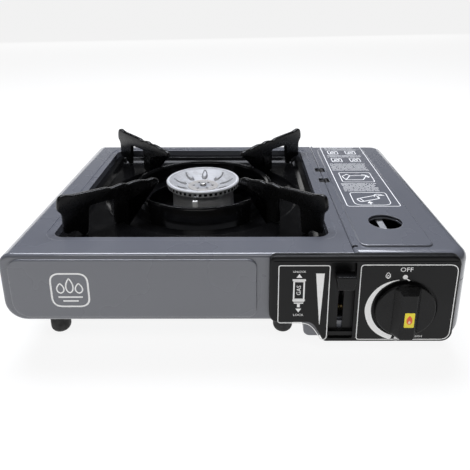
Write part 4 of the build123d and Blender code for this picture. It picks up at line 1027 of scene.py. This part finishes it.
def floor_paper(colour, glow):
    """Back-lit matt white sheet with a barely visible tone and tooth."""
    d = Drawing("floor_paper", colour, 0.9, shine=0.0)
    d.shader.inputs["Emission Color"].default_value = (1.0, 1.0, 1.0, 1.0)
    d.shader.inputs["Emission Strength"].default_value = glow
    d.give(Base_Color=d.blend(d.noise(3, 3).fade(0.3, 0.7), tint(colour, 0.99), tint(colour, 1.01)),
           Roughness=d.noise(30, 3).fade(0.3, 0.7, 0.86, 0.95), Normal=d.bump(d.noise(900, 3), 0.02))
    return d.finish


class STOVE_OT_stage(bpy.types.Operator):
    """Sets up the camera, the soft lights and the plain floor"""

    bl_idname = "stove.stage"
    bl_label = "Stage"

    def execute(self, context):
        colours, sizes = settings()
        scene = context.scene
        lens = bpy.data.cameras.new("camera")
        lens.sensor_width = SENSOR
        lens.lens = CAMERA_FOCUS / PICTURE * SENSOR
        lens.shift_x, lens.shift_y = CAMERA_SHIFT
        lens.clip_start, lens.clip_end = 0.01, 200
        camera = bpy.data.objects.new("camera", lens)
        scene.collection.objects.link(camera)
        turned = Matrix(aim(CAMERA_PITCH, CAMERA_YAW, CAMERA_ROLL).tolist()).to_4x4()
        camera.matrix_world = Matrix.Translation(
            (CAMERA_X * MM, (FRONT - CAMERA_BACK) * MM, CAMERA_Z * MM)) @ turned
        scene.camera = camera
        # floor, a grid that reaches past the horizon line of the view
        reach = np.sign(FLOOR_RUNGS) * np.abs(FLOOR_RUNGS) ** 3 * FLOOR_REACH
        x, y = np.meshgrid(reach, reach, indexing="ij")
        floor = Shape()
        floor.grid(np.stack([x, y, 0 * x - FLOOR_DROP], axis=-1))
        made = floor.sheet("floor", floor_paper(tuple(colours.floor), sizes.floor_glow))
        # lights
        for name, place, target, size, power, colour in (
                ("key_light", (-0.1, 0.42, 1.2), (0, 0, 0.05), (1.2, 0.6), sizes.key, (0.97, 1.0, 1.09)),
                ("front_light", (-0.2, -1.9, 0.7), (0, 0, 0.06), (3.2, 1.1), sizes.front, (1.03, 1.0, 0.94)),
                ("fore_light", (-0.1, -1.05, 1.25), (0, 0, 0.06), (1.1, 0.4), sizes.fore, WHITE),
                ("left_light", (-1.3, -0.1, 0.5), (0, 0, 0.05), (0.4, 0.9), sizes.side, WHITE),
                ("far_glow", (-0.5, 2.6, 0.43), (0, 0, 0.30), (4.0, 0.66), sizes.glow, WHITE)):
            soft_light(name, place, target, size, power, colour)
        world = bpy.data.worlds.new("studio")
        world.use_nodes = True
        world.node_tree.nodes["Background"].inputs[0].default_value = (1, 1, 1, 1)
        world.node_tree.nodes["Background"].inputs[1].default_value = AIR_GLOW
        scene.world = world
        scene.view_settings.view_transform = "Standard"
        return {"FINISHED"}


# ======== Panel, registration and run ========
STEPS = (STOVE_OT_stage, STOVE_OT_finishes, STOVE_OT_arms, STOVE_OT_burner, STOVE_OT_panel_print,
         STOVE_OT_lid_print, STOVE_OT_badge, STOVE_OT_knob_marks)


class STOVE_PT_panel(bpy.types.Panel):
    """Lists the stove's settings and steps"""

    bl_idname = "STOVE_PT_panel"
    bl_label = "Camping stove"
    bl_space_type = "VIEW_3D"
    bl_region_type = "UI"
    bl_category = "Stove"

    def draw(self, context):
        for group in settings():
            for key in group.__annotations__:
                self.layout.prop(group, key)
        for step in STEPS:
            self.layout.operator(step.bl_idname)


CLASSES = (StoveColours, StoveSizes, *STEPS, STOVE_PT_panel)


def register():
    """Registers the classes and hangs the settings on the scene."""
    for made in CLASSES:
        bpy.utils.register_class(made)
    bpy.types.Scene.stove_colours = PointerProperty(type=StoveColours)
    bpy.types.Scene.stove_sizes = PointerProperty(type=StoveSizes)


def unregister():
    """Takes the settings and classes away again."""
    del bpy.types.Scene.stove_sizes
    del bpy.types.Scene.stove_colours
    for made in reversed(CLASSES):
        bpy.utils.unregister_class(made)


def main():
    """Registers the add-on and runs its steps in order."""
    register()
    for step in STEPS:
        getattr(bpy.ops.stove, step.bl_idname.split(".")[1])()


if __name__ == "__main__":
    main()
